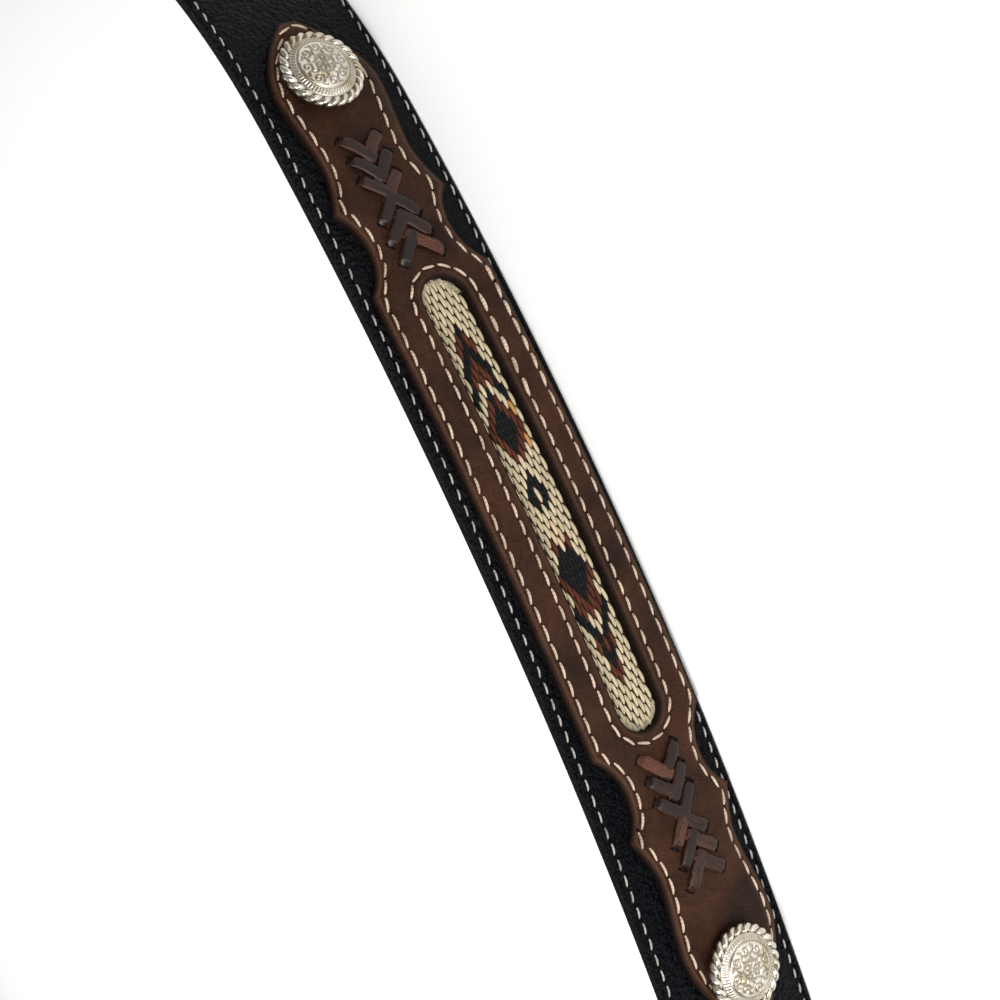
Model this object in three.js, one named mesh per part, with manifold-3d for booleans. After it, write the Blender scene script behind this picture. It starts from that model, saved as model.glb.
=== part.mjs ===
// Western concho belt, unbuckled and standing on the lower edge of its strap in a wide open bow.
// A brown scalloped overlay lies on the black strap, with a woven ribbon in its window, two laced
// arrow groups and two domed conchos. Millimetres, +Z up, the decorated face looks towards -Y.
import * as THREE from "three";
import { mergeVertices } from "three/addons/utils/BufferGeometryUtils.js";
import Module from "manifold-3d";

const wasm = await Module();
wasm.setup();

// Strap
const BELT_LENGTH = 1070; // from the buckle's bar to the tip
const STRAP_WIDTH = 38.1;
const STRAP_THICKNESS = 3.5;
const STRAP_CHAMFER = 0.5;
const END_WIDTH = 25.4;
const PLY_THICKNESS = 2.2; // the strap is skived to this where it folds round the bar
const TAPER_LENGTH = 75;
const BUCKLE_END_LENGTH = 50; // narrow stretch beside the buckle
const TIP_END_LENGTH = 150; // narrow stretch that holds the punched holes
const TIP_POINT_LENGTH = 24;
const TIP_BLUNTNESS = 0.14; // share of the end's width left at the very tip
const FOLD_LENGTH = 34; // ply that lies behind the strap
const HOLE_COUNT = 5;
const HOLE_SPACING = 25.4;
const HOLE_RADIUS = 1.9;
const FIRST_HOLE_FROM_TIP = 64;

// Overlay, ribbon and lacing
const PIECE_GAP = 0.3; // clearance between pieces that lie on one another
const OVERLAY_LENGTH = 252;
const OVERLAY_SHIFT = -2.5; // its tips lie this far towards the buckle from the window's middle
const OVERLAY_WIDTH = 32.2;
const OVERLAY_THICKNESS = 2.5; // padded, over its middle
const OVERLAY_EDGE = 1.3; // pressed thin at its rim
const OVERLAY_SLOPE = 4; // from the rim to the full thickness
const OVERLAY_DROP = 0.65; // the panel was sewn on this far below the strap's middle
const OVERLAY_RISE = 3.0; // and climbs this far from its left tip to its right tip
const OVERLAY_POINT = 4.4; // width left at the blunt tips
const WINDOW_LENGTH = 110;
const WINDOW_WIDTH = 11.6;
const RIBBON_THICKNESS = 0.6;
const LACE_WIDTH = 2.9;
const LACE_THICKNESS = 1.0;
const LACE_PITCH = 5.0;
const LACE_FROM_WINDOW = 20.3; // from the window's end to the middle of a lace group
const LACE_HALF_HEIGHT = 5.6;
const LACE_RAISE = 0.7; // the groups sit above the overlay's middle line
const LACE_ARM_RUN = 5.6; // how far one arm travels along the belt
const LACE_TUCK_LENGTH = 1.7; // how far an arm runs on past its arrow's point, under the next
const LACE_POINT_GAP = 0.3; // from the group's middle to the points of its inner arrows
const LACE_LIFT = 0.12; // each arrow lies this much higher than the one before it
const ARROWS_A_SIDE = 3;

// Conchos
const CONCHO_FROM_TIP = 16.5; // from the overlay's tip to the concho's middle
const CONCHO_RAISE = 1.8; // the conchos sit above the overlay's middle line
const CONCHO_RADIUS = 9.9;
const CONCHO_WALL = 2.2; // straight side below the dome; the rope edge runs round its top
const CONCHO_DOME = 2.7;
const ROPE_RADIUS = 1.35;
const ROPE_STRANDS = 24;
const ROPE_RELIEF = 0.28; // share of the rope's radius
const POST_RADIUS = 1.8;
const SCREW_HEAD_RADIUS = 4.2;
const SCREW_HEAD_THICKNESS = 1.0;
const ENDS = [{ end: "left", side: -1 }, { end: "right", side: 1 }];

// Buckle and keeper
const BUCKLE_LENGTH = 36;
const BUCKLE_HEIGHT = 35.6;
const BUCKLE_THICKNESS = 3.2;
const BUCKLE_RAIL = 4.2;
const BUCKLE_CORNER = 6;
const BAR_WIDTH = 3.4;
const PRONG_RADIUS = 1.5;
const PRONG_SLOT_LENGTH = 11; // from the bar into the strap
const PRONG_SLOT_SIDE = 0.9; // room on each side of the prong
const KEEPER_WIDTH = 10;
const KEEPER_THICKNESS = 1.8;
const KEEPER_FROM_BAR = 26;

// The belt's route, seen from above and travelled from the buckle to the tip: each run is an arc
// (or a straight, where it turns by nothing) with its share of the belt's length.
const ROUTE = [
  { run: "buckle_stretch", share: 0.0654, turn: 0 },
  { run: "left_arm", share: 0.1449, turn: 18 },
  { run: "left_bend", share: 0.1495, turn: 61.1 },
  { run: "front", share: 0.2327, turn: 18.06 },
  { run: "right_bend", share: 0.1776, turn: 71.2 },
  { run: "right_arm", share: 0.1738, turn: 20 },
  { run: "tip_stretch", share: 0.0561, turn: 0 },
];
const PANEL_FRONT_SHARE = 0.6024; // where the panel's middle lies along the front run

// One quarter of the overlay's outline, from the window's middle to a tip: each span ends at a
// share of the half length, with a share of the half width, and is drawn as its curve names. The
// last one runs to the tip itself.
const OVERLAY_SPANS = [
  { to: 0.4405, half: 1.0, curve: "straight", steps: 7 },
  { to: 0.596, half: 0.951, curve: "scallop", steps: 9 },
  { to: 0.6825, half: 0.742, curve: "hollow", steps: 5 },
  { to: 0.827, half: 0.86, curve: "swell", steps: 4 },
  { to: 1.0, half: 0.0, curve: "point", steps: 8 },
];
const SCALLOP_DEPTH = 4.3;
const HOLLOW_POWER = 1.6;
const POINT_POWER = 1.85;

const STATION_STEP = 10; // longest chord of a swept piece
const LOOP_STEP_DEGREES = 20;
const ROUND_SIDES = 16;
const CUT_PAST = 1; // how far a cutting solid runs past the faces it opens

const radians = THREE.MathUtils.degToRad;
const midZ = STRAP_WIDTH / 2;
const faceHeight = PIECE_GAP + OVERLAY_THICKNESS; // top of the overlay above the strap's face
const postHole = POST_RADIUS + PIECE_GAP;
const laceCentre = WINDOW_LENGTH / 2 + LACE_FROM_WINDOW;
const tipReach = (side) => OVERLAY_LENGTH / 2 + side * OVERLAY_SHIFT;
const barReach = Math.hypot(BAR_WIDTH, BUCKLE_THICKNESS) / 2;
const loopRadius = barReach + PIECE_GAP + PLY_THICKNESS;

// Route

// The fold behind the strap: a return ply, an S that spreads it, and the loop round the bar.
function foldRuns() {
  const spread = radians(30);
  const spreadRadius = 6;
  const shift = 2 * loopRadius - 2 * PLY_THICKNESS - PIECE_GAP;
  const curved = (spreadRadius + loopRadius) * (1 - Math.cos(spread));
  return [
    { run: "fold_return", length: FOLD_LENGTH, turn: 0 },
    { run: "fold_spread", length: spreadRadius * spread, turn: -spread },
    { run: "fold_slope", length: (shift - curved) / Math.sin(spread), turn: 0 },
    { run: "fold_loop", length: loopRadius * (Math.PI + spread), turn: Math.PI + spread },
  ];
}

// Every run with its start, so that a place along the belt can be worked out from an arc.
function layRoute() {
  const belt = ROUTE.map(({ run, share, turn }) => (
    { run, length: share * BELT_LENGTH, turn: radians(turn) }
  ));
  const runs = [...foldRuns(), ...belt];
  let along = 0;
  let state = { x: 0, y: 0, heading: 0 };
  for (const run of runs) {
    Object.assign(run, { along, start: state });
    state = alongRun(run, run.length);
    along += run.length;
  }
  return runs;
}

function alongRun(run, distance) {
  const { x, y, heading } = run.start;
  const turned = (run.turn * distance) / run.length;
  const end = heading + turned;
  if (Math.abs(run.turn) < 1e-9) {
    return { x: x + distance * Math.cos(heading), y: y + distance * Math.sin(heading), heading };
  }
  const radius = run.length / run.turn;
  return {
    x: x + radius * (Math.sin(end) - Math.sin(heading)),
    y: y - radius * (Math.cos(end) - Math.cos(heading)),
    heading: end,
  };
}

const runs = layRoute();
const runNamed = (name) => runs.find(({ run }) => run === name);
const barAlong = runNamed("buckle_stretch").along;
const frontRun = runNamed("front");
const panelAlong = frontRun.along + PANEL_FRONT_SHARE * frontRun.length;

function rawPlace(along) {
  const run = runs.find((r) => along <= r.along + r.length) ?? runs.at(-1);
  return alongRun(run, along - run.along);
}

// The route is turned and moved so that the panel's middle is at x = y = 0, facing -Y.
const panelRaw = rawPlace(panelAlong);
function placeOnRoute(along) {
  const raw = rawPlace(along);
  const cos = Math.cos(panelRaw.heading);
  const sin = Math.sin(panelRaw.heading);
  const dx = raw.x - panelRaw.x;
  const dy = raw.y - panelRaw.y;
  return {
    x: dx * cos + dy * sin,
    y: dy * cos - dx * sin,
    heading: raw.heading - panelRaw.heading,
  };
}

// A point of the belt: along the route, up from the strap's middle and out from its face.
function beltPoint(along, up, out) {
  const { x, y, heading } = placeOnRoute(along);
  return [x + out * Math.sin(heading), y - out * Math.cos(heading), midZ + up];
}

// A group whose X runs along the belt, Y up the strap and Z out of its face.
function beltFrame(along, up, out) {
  const { heading } = placeOnRoute(along);
  const frame = new THREE.Group();
  const forward = new THREE.Vector3(Math.cos(heading), Math.sin(heading), 0);
  const upward = new THREE.Vector3(0, 0, 1);
  const outward = new THREE.Vector3().crossVectors(forward, upward);
  frame.position.set(...beltPoint(along, up, out));
  frame.quaternion.setFromRotationMatrix(new THREE.Matrix4().makeBasis(forward, upward, outward));
  frame.updateMatrixWorld(true);
  return frame;
}

// Solids

function signedVolume(points, triangles) {
  const [a, b, c] = [new THREE.Vector3(), new THREE.Vector3(), new THREE.Vector3()];
  let six = 0;
  for (const [i, j, k] of triangles) {
    a.fromArray(points[i]);
    b.fromArray(points[j]);
    c.fromArray(points[k]);
    six += a.dot(b.cross(c));
  }
  return six / 6;
}

function solidFromPoints(points, triangles) {
  const outward = signedVolume(points, triangles) > 0;
  const facing = outward ? triangles : triangles.map(([i, j, k]) => [i, k, j]);
  return new wasm.Manifold(new wasm.Mesh({
    numProp: 3,
    vertProperties: new Float32Array(points.flat()),
    triVerts: new Uint32Array(facing.flat()),
  }));
}

function solidFromGeometry(geometry) {
  const bare = geometry.clone();
  bare.deleteAttribute("normal");
  bare.deleteAttribute("uv");
  const merged = mergeVertices(bare, 1e-4);
  return new wasm.Manifold(new wasm.Mesh({
    numProp: 3,
    vertProperties: new Float32Array(merged.attributes.position.array),
    triVerts: new Uint32Array(merged.index.array),
  }));
}

function geometryFromSolid(solid) {
  const { vertProperties, triVerts } = solid.getMesh();
  const geometry = new THREE.BufferGeometry();
  geometry.setAttribute("position", new THREE.BufferAttribute(vertProperties, 3));
  geometry.setIndex(new THREE.BufferAttribute(triVerts, 1));
  const faceted = geometry.toNonIndexed();
  faceted.computeVertexNormals();
  return faceted;
}

// Joins rings of points into a closed solid, with a fan over each end. `closed` joins the last
// ring to the first one instead.
function solidFromRings(rings, closed = false) {
  const sides = rings[0].length;
  const index = (ring, side) => (ring % rings.length) * sides + (side % sides);
  const triangles = [];
  const spans = closed ? rings.length : rings.length - 1;
  for (let r = 0; r < spans; r += 1) {
    for (let k = 0; k < sides; k += 1) {
      triangles.push([index(r, k), index(r, k + 1), index(r + 1, k + 1)]);
      triangles.push([index(r, k), index(r + 1, k + 1), index(r + 1, k)]);
    }
  }
  if (!closed) {
    for (let k = 1; k < sides - 1; k += 1) {
      triangles.push([index(0, 0), index(0, k + 1), index(0, k)]);
      triangles.push([index(spans, 0), index(spans, k), index(spans, k + 1)]);
    }
  }
  return solidFromPoints(rings.flat(), triangles);
}

// Sweeps a section, a ring of [up, out] pairs that may change on the way, along the belt.
function sweepAlong(stations, sectionAt) {
  return solidFromRings(stations.map((along) => (
    sectionAt(along).map(([up, out]) => beltPoint(along, up, out))
  )));
}

function slabSection(low, high, bottom, top) {
  return [[low, bottom], [high, bottom], [high, top], [low, top]];
}

function meshOf(name, solid, colour, roughness, metalness) {
  const material = new THREE.MeshStandardMaterial({ color: colour, roughness, metalness });
  const mesh = new THREE.Mesh(geometryFromSolid(solid), material);
  mesh.name = name;
  return mesh;
}

// A rod through the belt, for a hole or a post.
function rodThrough(along, up, bottom, top, radius) {
  const rod = new THREE.CylinderGeometry(radius, radius, top - bottom, ROUND_SIDES);
  rod.rotateX(Math.PI / 2);
  rod.translate(0, 0, (top + bottom) / 2);
  rod.applyMatrix4(beltFrame(along, up, 0).matrixWorld);
  return solidFromGeometry(rod);
}

// Strap

const easeInOut = (u) => THREE.MathUtils.smoothstep(u, 0, 1);

function strapFullness(fromBar) {
  const fromTip = BELT_LENGTH - fromBar;
  const atBuckle = easeInOut((fromBar - BUCKLE_END_LENGTH) / TAPER_LENGTH);
  const atTip = easeInOut((fromTip - TIP_END_LENGTH) / TAPER_LENGTH);
  return { atBuckle, atTip };
}

function strapSection(along) {
  const fromBar = along - barAlong;
  const fromTip = Math.max(BELT_LENGTH - fromBar, 0);
  const { atBuckle, atTip } = strapFullness(fromBar);
  const pointed = Math.min(fromTip / TIP_POINT_LENGTH, 1);
  const rounding = Math.max(Math.sqrt(1 - (1 - pointed) ** 2), TIP_BLUNTNESS);
  const width = THREE.MathUtils.lerp(END_WIDTH, STRAP_WIDTH, Math.min(atBuckle, atTip)) * rounding;
  const thickness = THREE.MathUtils.lerp(PLY_THICKNESS, STRAP_THICKNESS, atBuckle);
  const half = width / 2;
  const c = STRAP_CHAMFER;
  return [
    [-half + c, -thickness], [half - c, -thickness], [half, -thickness + c], [half, -c],
    [half - c, 0], [-half + c, 0], [-half, -c], [-half, -thickness + c],
  ];
}

function stationsOfRun({ run, along, length, turn }) {
  const byTurn = Math.ceil(Math.abs(turn) / radians(LOOP_STEP_DEGREES));
  const count = Math.max(Math.ceil(length / STATION_STEP), byTurn, 1);
  const first = run === runs[0].run ? 0 : 1;
  return Array.from({ length: count + 1 - first }, (_, i) => (
    along + (length * (i + first)) / count
  ));
}

function strapStations() {
  const rough = runs.flatMap(stationsOfRun);
  const tip = barAlong + BELT_LENGTH;
  const body = rough.filter((along) => along < tip - TIP_POINT_LENGTH);
  const pointSteps = 8;
  const point = Array.from({ length: pointSteps + 1 }, (_, i) => (
    tip - TIP_POINT_LENGTH * (1 - Math.sin((Math.PI / 2) * (i / pointSteps)))
  ));
  return [...body, ...point];
}

// The slot that lets the prong out of the fold.
function prongSlot() {
  const height = 2 * (PRONG_RADIUS + PRONG_SLOT_SIDE);
  const back = loopRadius + CUT_PAST;
  const depth = loopRadius + 2 * CUT_PAST;
  const slot = new THREE.BoxGeometry(back + PRONG_SLOT_LENGTH, height, depth);
  slot.translate((PRONG_SLOT_LENGTH - back) / 2, 0, depth / 2 - CUT_PAST);
  slot.applyMatrix4(beltFrame(barAlong, 0, -loopRadius).matrixWorld);
  return solidFromGeometry(slot);
}

function strap() {
  let solid = sweepAlong(strapStations(), strapSection).subtract(prongSlot());
  for (const { side } of ENDS) {
    const { offset, up } = conchoPlace(side);
    solid = solid.subtract(rodThrough(
      panelAlong + offset, up, -STRAP_THICKNESS - CUT_PAST, CUT_PAST, postHole,
    ));
  }
  for (let i = 0; i < HOLE_COUNT; i += 1) {
    const along = barAlong + BELT_LENGTH - FIRST_HOLE_FROM_TIP - i * HOLE_SPACING;
    solid = solid.subtract(rodThrough(
      along, 0, -STRAP_THICKNESS - CUT_PAST, CUT_PAST, HOLE_RADIUS,
    ));
  }
  return meshOf("strap", solid, 0x141416, 0.55, 0);
}

// Overlay and ribbon

// Height of the overlay's middle line above the strap's, at an offset from the window's middle.
function overlayMiddle(offset) {
  return -OVERLAY_DROP + (OVERLAY_RISE * offset) / OVERLAY_LENGTH;
}

const spanCurves = {
  straight: (u, from, to) => THREE.MathUtils.lerp(from, to, u),
  scallop: (u, from, to, length) => {
    const chord = length / 2;
    const radius = (chord ** 2 + SCALLOP_DEPTH ** 2) / (2 * SCALLOP_DEPTH);
    const across = (2 * u - 1) * chord;
    const sag = Math.sqrt(radius ** 2 - across ** 2) - (radius - SCALLOP_DEPTH);
    return THREE.MathUtils.lerp(from, to, u) - sag;
  },
  hollow: (u, from, to) => to + (from - to) * (1 - u) ** HOLLOW_POWER,
  swell: (u, from, to) => THREE.MathUtils.lerp(from, to, easeInOut(u)),
  point: (u, from) => Math.max(from * (1 - u ** POINT_POWER), OVERLAY_POINT / 2),
};

// The outline's half width at chosen distances from the window's middle, middle to tip.
function overlayOutline(side) {
  const halfLength = OVERLAY_LENGTH / 2;
  const halfWidth = OVERLAY_WIDTH / 2;
  const rows = [{ offset: 0, half: halfWidth }];
  let from = { to: 0, half: 1 };
  for (const span of OVERLAY_SPANS) {
    const start = from.to * halfLength;
    const end = span.curve === "point" ? tipReach(side) : span.to * halfLength;
    const length = end - start;
    for (let i = 1; i <= span.steps; i += 1) {
      const u = i / span.steps;
      const half = spanCurves[span.curve](u, from.half * halfWidth, span.half * halfWidth, length);
      rows.push({ offset: start + u * length, half });
    }
    from = span;
  }
  return rows;
}

// A flat piece that follows the belt: rows give its half width from the window's middle outwards,
// and section its ring of [up, out] pairs for a half width.
function panelSlab(leftRows, rightRows, section) {
  const left = leftRows.slice(1).reverse().map(({ offset, half }) => ({ offset: -offset, half }));
  return solidFromRings([...left, ...rightRows].map(({ offset, half }) => {
    const middle = overlayMiddle(offset);
    return section(half).map(([up, out]) => beltPoint(panelAlong + offset, middle + up, out));
  }));
}

// Pressed thin at the rim and padded over the middle; a narrow stretch never gets to full height.
function overlaySection(half) {
  const slope = Math.min(OVERLAY_SLOPE, half * 0.6);
  const edge = PIECE_GAP + OVERLAY_EDGE;
  const top = edge + ((OVERLAY_THICKNESS - OVERLAY_EDGE) * slope) / OVERLAY_SLOPE;
  return [
    [-half, PIECE_GAP], [half, PIECE_GAP], [half, edge],
    [half - slope, top], [-half + slope, top], [-half, edge],
  ];
}

// Half of a round-ended window, drawn smaller by an inset.
function windowOutline(inset) {
  const radius = WINDOW_WIDTH / 2 - inset;
  const straight = (WINDOW_LENGTH - WINDOW_WIDTH) / 2;
  const straightSteps = Math.ceil(straight / STATION_STEP);
  const roundSteps = 6;
  const rows = [];
  for (let i = 0; i <= straightSteps; i += 1) {
    rows.push({ offset: (straight * i) / straightSteps, half: radius });
  }
  for (let i = 1; i <= roundSteps; i += 1) {
    const angle = (Math.PI / 2) * (i / roundSteps);
    rows.push({
      offset: straight + radius * Math.sin(angle),
      half: Math.max(radius * Math.cos(angle), radius / 10),
    });
  }
  return rows;
}

function overlay() {
  const cut = windowOutline(0);
  let solid = panelSlab(overlayOutline(-1), overlayOutline(1), overlaySection)
    .subtract(panelSlab(cut, cut, (half) => (
      slabSection(-half, half, -CUT_PAST, faceHeight + CUT_PAST)
    )));
  for (const { side } of ENDS) {
    const { offset, up } = conchoPlace(side);
    solid = solid.subtract(rodThrough(
      panelAlong + offset, up, -CUT_PAST, faceHeight + CUT_PAST, postHole,
    ));
  }
  return meshOf("overlay", solid, 0x45301f, 0.6, 0);
}

function ribbon() {
  const rows = windowOutline(PIECE_GAP);
  const top = PIECE_GAP + RIBBON_THICKNESS;
  const solid = panelSlab(rows, rows, (half) => slabSection(-half, half, PIECE_GAP, top));
  return meshOf("ribbon", solid, 0xb9a67c, 0.85, 0);
}

// Lacing

// One flat thong from its slit to the arrow's point, low at the slit and arched between.
function thong(slit, point, lift) {
  const bottom = faceHeight + PIECE_GAP;
  const direction = new THREE.Vector2(point.offset - slit.offset, point.up - slit.up).normalize();
  const half = LACE_WIDTH / 2;
  const rows = [
    { at: 0, width: 0.7, height: 0.45 },
    { at: 0.12, width: 1, height: 0.85 },
    { at: 0.55, width: 1, height: 1 },
    { at: 1, width: 0.85, height: 0.9 },
  ];
  return solidFromRings(rows.map(({ at, width, height }) => {
    const offset = THREE.MathUtils.lerp(slit.offset, point.offset, at);
    const up = THREE.MathUtils.lerp(slit.up, point.up, at);
    const top = bottom + (LACE_THICKNESS + lift) * height;
    const shoulder = bottom + (top - bottom) * 0.55;
    const ring = [
      [-half, bottom], [half, bottom], [half, shoulder], [half * 0.6, top],
      [-half * 0.6, top], [-half, shoulder],
    ];
    return ring.map(([across, out]) => beltPoint(
      panelAlong + offset - direction.y * across * width,
      up + direction.x * across * width,
      out,
    ));
  }));
}

function lacing(name, side) {
  const centre = side * laceCentre;
  const middle = overlayMiddle(centre) + LACE_RAISE;
  let solid;
  for (const half of [-1, 1]) {
    for (let i = 0; i < ARROWS_A_SIDE; i += 1) {
      const apex = { offset: centre + half * (LACE_POINT_GAP + i * LACE_PITCH), up: middle };
      for (const edge of [-1, 1]) {
        const slit = {
          offset: apex.offset + half * LACE_ARM_RUN,
          up: middle + edge * LACE_HALF_HEIGHT,
        };
        const past = {
          offset: apex.offset - half * LACE_TUCK_LENGTH,
          up: middle - edge * LACE_TUCK_LENGTH,
        };
        const arm = thong(slit, past, (i + (edge + 1) / 4) * LACE_LIFT);
        solid = solid ? solid.add(arm) : arm;
      }
    }
  }
  return meshOf(name, solid, 0x241a18, 0.5, 0);
}

// Conchos

function conchoPlace(side) {
  const offset = side * (tipReach(side) - CONCHO_FROM_TIP);
  return { offset, up: overlayMiddle(offset) + CONCHO_RAISE };
}

function conchoBody() {
  const rise = CONCHO_WALL + CONCHO_DOME;
  const inner = CONCHO_RADIUS - ROPE_RADIUS;
  const profile = [new THREE.Vector2(0, 0), new THREE.Vector2(inner, 0)];
  const domeSteps = 6;
  for (let i = 0; i < domeSteps; i += 1) {
    const angle = (Math.PI / 2) * (i / domeSteps);
    profile.push(new THREE.Vector2(
      inner * Math.cos(angle),
      CONCHO_WALL + CONCHO_DOME * Math.sin(angle),
    ));
  }
  profile.push(new THREE.Vector2(0, rise));
  const dome = new THREE.LatheGeometry(profile, ROPE_STRANDS);
  dome.rotateX(Math.PI / 2);
  return solidFromGeometry(dome);
}

// The rope edge: a ring whose section swells and shrinks as the strands wind round it.
function ropeEdge() {
  const aroundStrand = 4;
  const sides = 6;
  const ringRadius = CONCHO_RADIUS - ROPE_RADIUS;
  const rings = [];
  for (let i = 0; i < ROPE_STRANDS * aroundStrand; i += 1) {
    const turn = (2 * Math.PI * i) / (ROPE_STRANDS * aroundStrand);
    const ring = [];
    for (let k = 0; k < sides; k += 1) {
      const angle = (2 * Math.PI * k) / sides;
      const relief = ROPE_RELIEF * (0.5 + 0.5 * Math.cos(ROPE_STRANDS * turn - angle));
      const radius = ROPE_RADIUS * (1 - relief);
      const reach = ringRadius + radius * Math.cos(angle);
      ring.push([
        reach * Math.cos(turn),
        reach * Math.sin(turn),
        CONCHO_WALL + radius * Math.sin(angle),
      ]);
    }
    rings.push(ring);
  }
  return solidFromRings(rings, true);
}

function conchoPost() {
  const length = faceHeight + PIECE_GAP + STRAP_THICKNESS;
  const root = CONCHO_WALL;
  const post = new THREE.CylinderGeometry(POST_RADIUS, POST_RADIUS, length + root, ROUND_SIDES);
  post.rotateX(Math.PI / 2);
  post.translate(0, 0, (root - length) / 2);
  return solidFromGeometry(post);
}

function concho(name, { offset, up }) {
  const frame = beltFrame(panelAlong + offset, up, faceHeight + PIECE_GAP);
  const solid = conchoBody().add(ropeEdge()).add(conchoPost());
  frame.add(meshOf(name, solid, 0xc4baa6, 0.32, 1));
  return frame;
}

function conchoScrew(name, { offset, up }) {
  const radius = SCREW_HEAD_RADIUS;
  const head = new THREE.CylinderGeometry(radius, radius, SCREW_HEAD_THICKNESS, ROUND_SIDES);
  head.rotateX(Math.PI / 2);
  const out = -STRAP_THICKNESS - PIECE_GAP - SCREW_HEAD_THICKNESS / 2;
  const frame = beltFrame(panelAlong + offset, up, out);
  frame.add(meshOf(name, solidFromGeometry(head), 0xa9a69e, 0.4, 1));
  return frame;
}

// Buckle and keeper

function roundedRectangle(target, width, height, radius) {
  const x = width / 2;
  const y = height / 2;
  target.moveTo(-x + radius, -y);
  target.lineTo(x - radius, -y);
  target.absarc(x - radius, -y + radius, radius, -Math.PI / 2, 0);
  target.lineTo(x, y - radius);
  target.absarc(x - radius, y - radius, radius, 0, Math.PI / 2);
  target.lineTo(-x + radius, y);
  target.absarc(-x + radius, y - radius, radius, Math.PI / 2, Math.PI);
  target.lineTo(-x, -y + radius);
  target.absarc(-x + radius, -y + radius, radius, Math.PI, 1.5 * Math.PI);
  return target;
}

function rectangularRing(outer, inner, depth, curveSegments) {
  const shape = roundedRectangle(new THREE.Shape(), outer.width, outer.height, outer.corner);
  const hole = roundedRectangle(new THREE.Path(), inner.width, inner.height, inner.corner);
  const points = hole.getPoints(curveSegments).map(({ x, y }) => (
    new THREE.Vector2(x + (inner.shift ?? 0), y)
  ));
  shape.holes.push(new THREE.Path(points));
  const ring = new THREE.ExtrudeGeometry(shape, { depth, bevelEnabled: false, curveSegments });
  ring.translate(0, 0, -depth / 2);
  return ring;
}

function buckle() {
  const innerLength = BUCKLE_LENGTH - BUCKLE_RAIL - BAR_WIDTH;
  const ring = rectangularRing(
    { width: BUCKLE_LENGTH, height: BUCKLE_HEIGHT, corner: BUCKLE_CORNER },
    {
      width: innerLength,
      height: BUCKLE_HEIGHT - 2 * BUCKLE_RAIL,
      corner: BUCKLE_CORNER - BUCKLE_RAIL,
      shift: (BUCKLE_RAIL - BAR_WIDTH) / 2,
    },
    BUCKLE_THICKNESS,
    4,
  );
  const heelAt = BAR_WIDTH / 2;
  ring.translate(heelAt - BUCKLE_LENGTH / 2, 0, 0);
  const rest = BUCKLE_THICKNESS / 2 + PRONG_RADIUS * 0.9;
  const prongRows = [
    { along: 0, out: 0 },
    { along: -1.4, out: rest * 0.6 },
    { along: -4, out: rest },
    { along: heelAt - BUCKLE_LENGTH + BUCKLE_RAIL * 0.4, out: rest },
  ];
  const sides = 8;
  const prong = solidFromRings(prongRows.map(({ along, out }) => (
    Array.from({ length: sides }, (_, k) => {
      const angle = (2 * Math.PI * k) / sides;
      return [along, PRONG_RADIUS * Math.cos(angle), out + PRONG_RADIUS * Math.sin(angle)];
    })
  )));
  const frame = beltFrame(barAlong, 0, -loopRadius);
  frame.add(meshOf("buckle", solidFromGeometry(ring).add(prong), 0xbab4a8, 0.35, 1));
  return frame;
}

function keeper() {
  const plies = 2 * PLY_THICKNESS + PIECE_GAP;
  const inner = { width: plies + 2 * PIECE_GAP, height: END_WIDTH + 2 * PIECE_GAP, corner: 0.4 };
  const outer = {
    width: inner.width + 2 * KEEPER_THICKNESS,
    height: inner.height + 2 * KEEPER_THICKNESS,
    corner: KEEPER_THICKNESS,
  };
  const ring = rectangularRing(outer, inner, KEEPER_WIDTH, 3);
  ring.rotateY(Math.PI / 2);
  const frame = beltFrame(barAlong + KEEPER_FROM_BAR, 0, -plies / 2);
  frame.add(meshOf("keeper", solidFromGeometry(ring), 0x1a1a1c, 0.5, 0));
  return frame;
}

const belt = new THREE.Group();
belt.add(strap(), overlay(), ribbon(), buckle(), keeper());
for (const { end, side } of ENDS) {
  const place = conchoPlace(side);
  belt.add(lacing(`lace_${end}`, side));
  belt.add(concho(`concho_${end}`, place));
  belt.add(conchoScrew(`concho_screw_${end}`, place));
}

// The origin is under the middle of the belt's box, on the surface that it stands on.
const box = new THREE.Box3().setFromObject(belt);
belt.position.set(-(box.min.x + box.max.x) / 2, -(box.min.y + box.max.y) / 2, -box.min.z);

export default belt;
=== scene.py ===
import logging
import math
from dataclasses import dataclass, field
from enum import Enum
from typing import Sequence

import bmesh
import bpy
import numpy as np
from mathutils import Euler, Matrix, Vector
from mathutils.kdtree import KDTree


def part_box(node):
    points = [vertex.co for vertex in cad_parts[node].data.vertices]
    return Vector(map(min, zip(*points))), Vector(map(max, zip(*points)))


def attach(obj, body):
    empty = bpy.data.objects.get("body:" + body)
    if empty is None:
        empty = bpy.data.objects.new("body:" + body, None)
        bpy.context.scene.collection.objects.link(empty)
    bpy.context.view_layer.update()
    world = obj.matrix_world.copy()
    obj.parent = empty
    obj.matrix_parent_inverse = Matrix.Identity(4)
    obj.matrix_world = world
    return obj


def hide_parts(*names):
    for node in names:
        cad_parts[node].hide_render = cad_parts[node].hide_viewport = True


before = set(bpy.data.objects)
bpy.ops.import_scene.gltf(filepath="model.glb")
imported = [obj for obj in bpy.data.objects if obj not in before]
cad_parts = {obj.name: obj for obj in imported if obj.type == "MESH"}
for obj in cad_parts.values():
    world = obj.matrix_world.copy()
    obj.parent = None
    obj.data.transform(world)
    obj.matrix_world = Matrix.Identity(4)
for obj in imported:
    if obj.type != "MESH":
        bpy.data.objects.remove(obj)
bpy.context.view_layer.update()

MM = 0.001
WELD = 4e-6
BOX_FACES = ((0, 1, 3, 2), (4, 6, 7, 5), (0, 4, 5, 1), (2, 3, 7, 6), (0, 2, 6, 4), (1, 5, 7, 3))
LOG = logging.getLogger("belt")
Pairs = Sequence[tuple[float, float]]


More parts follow.
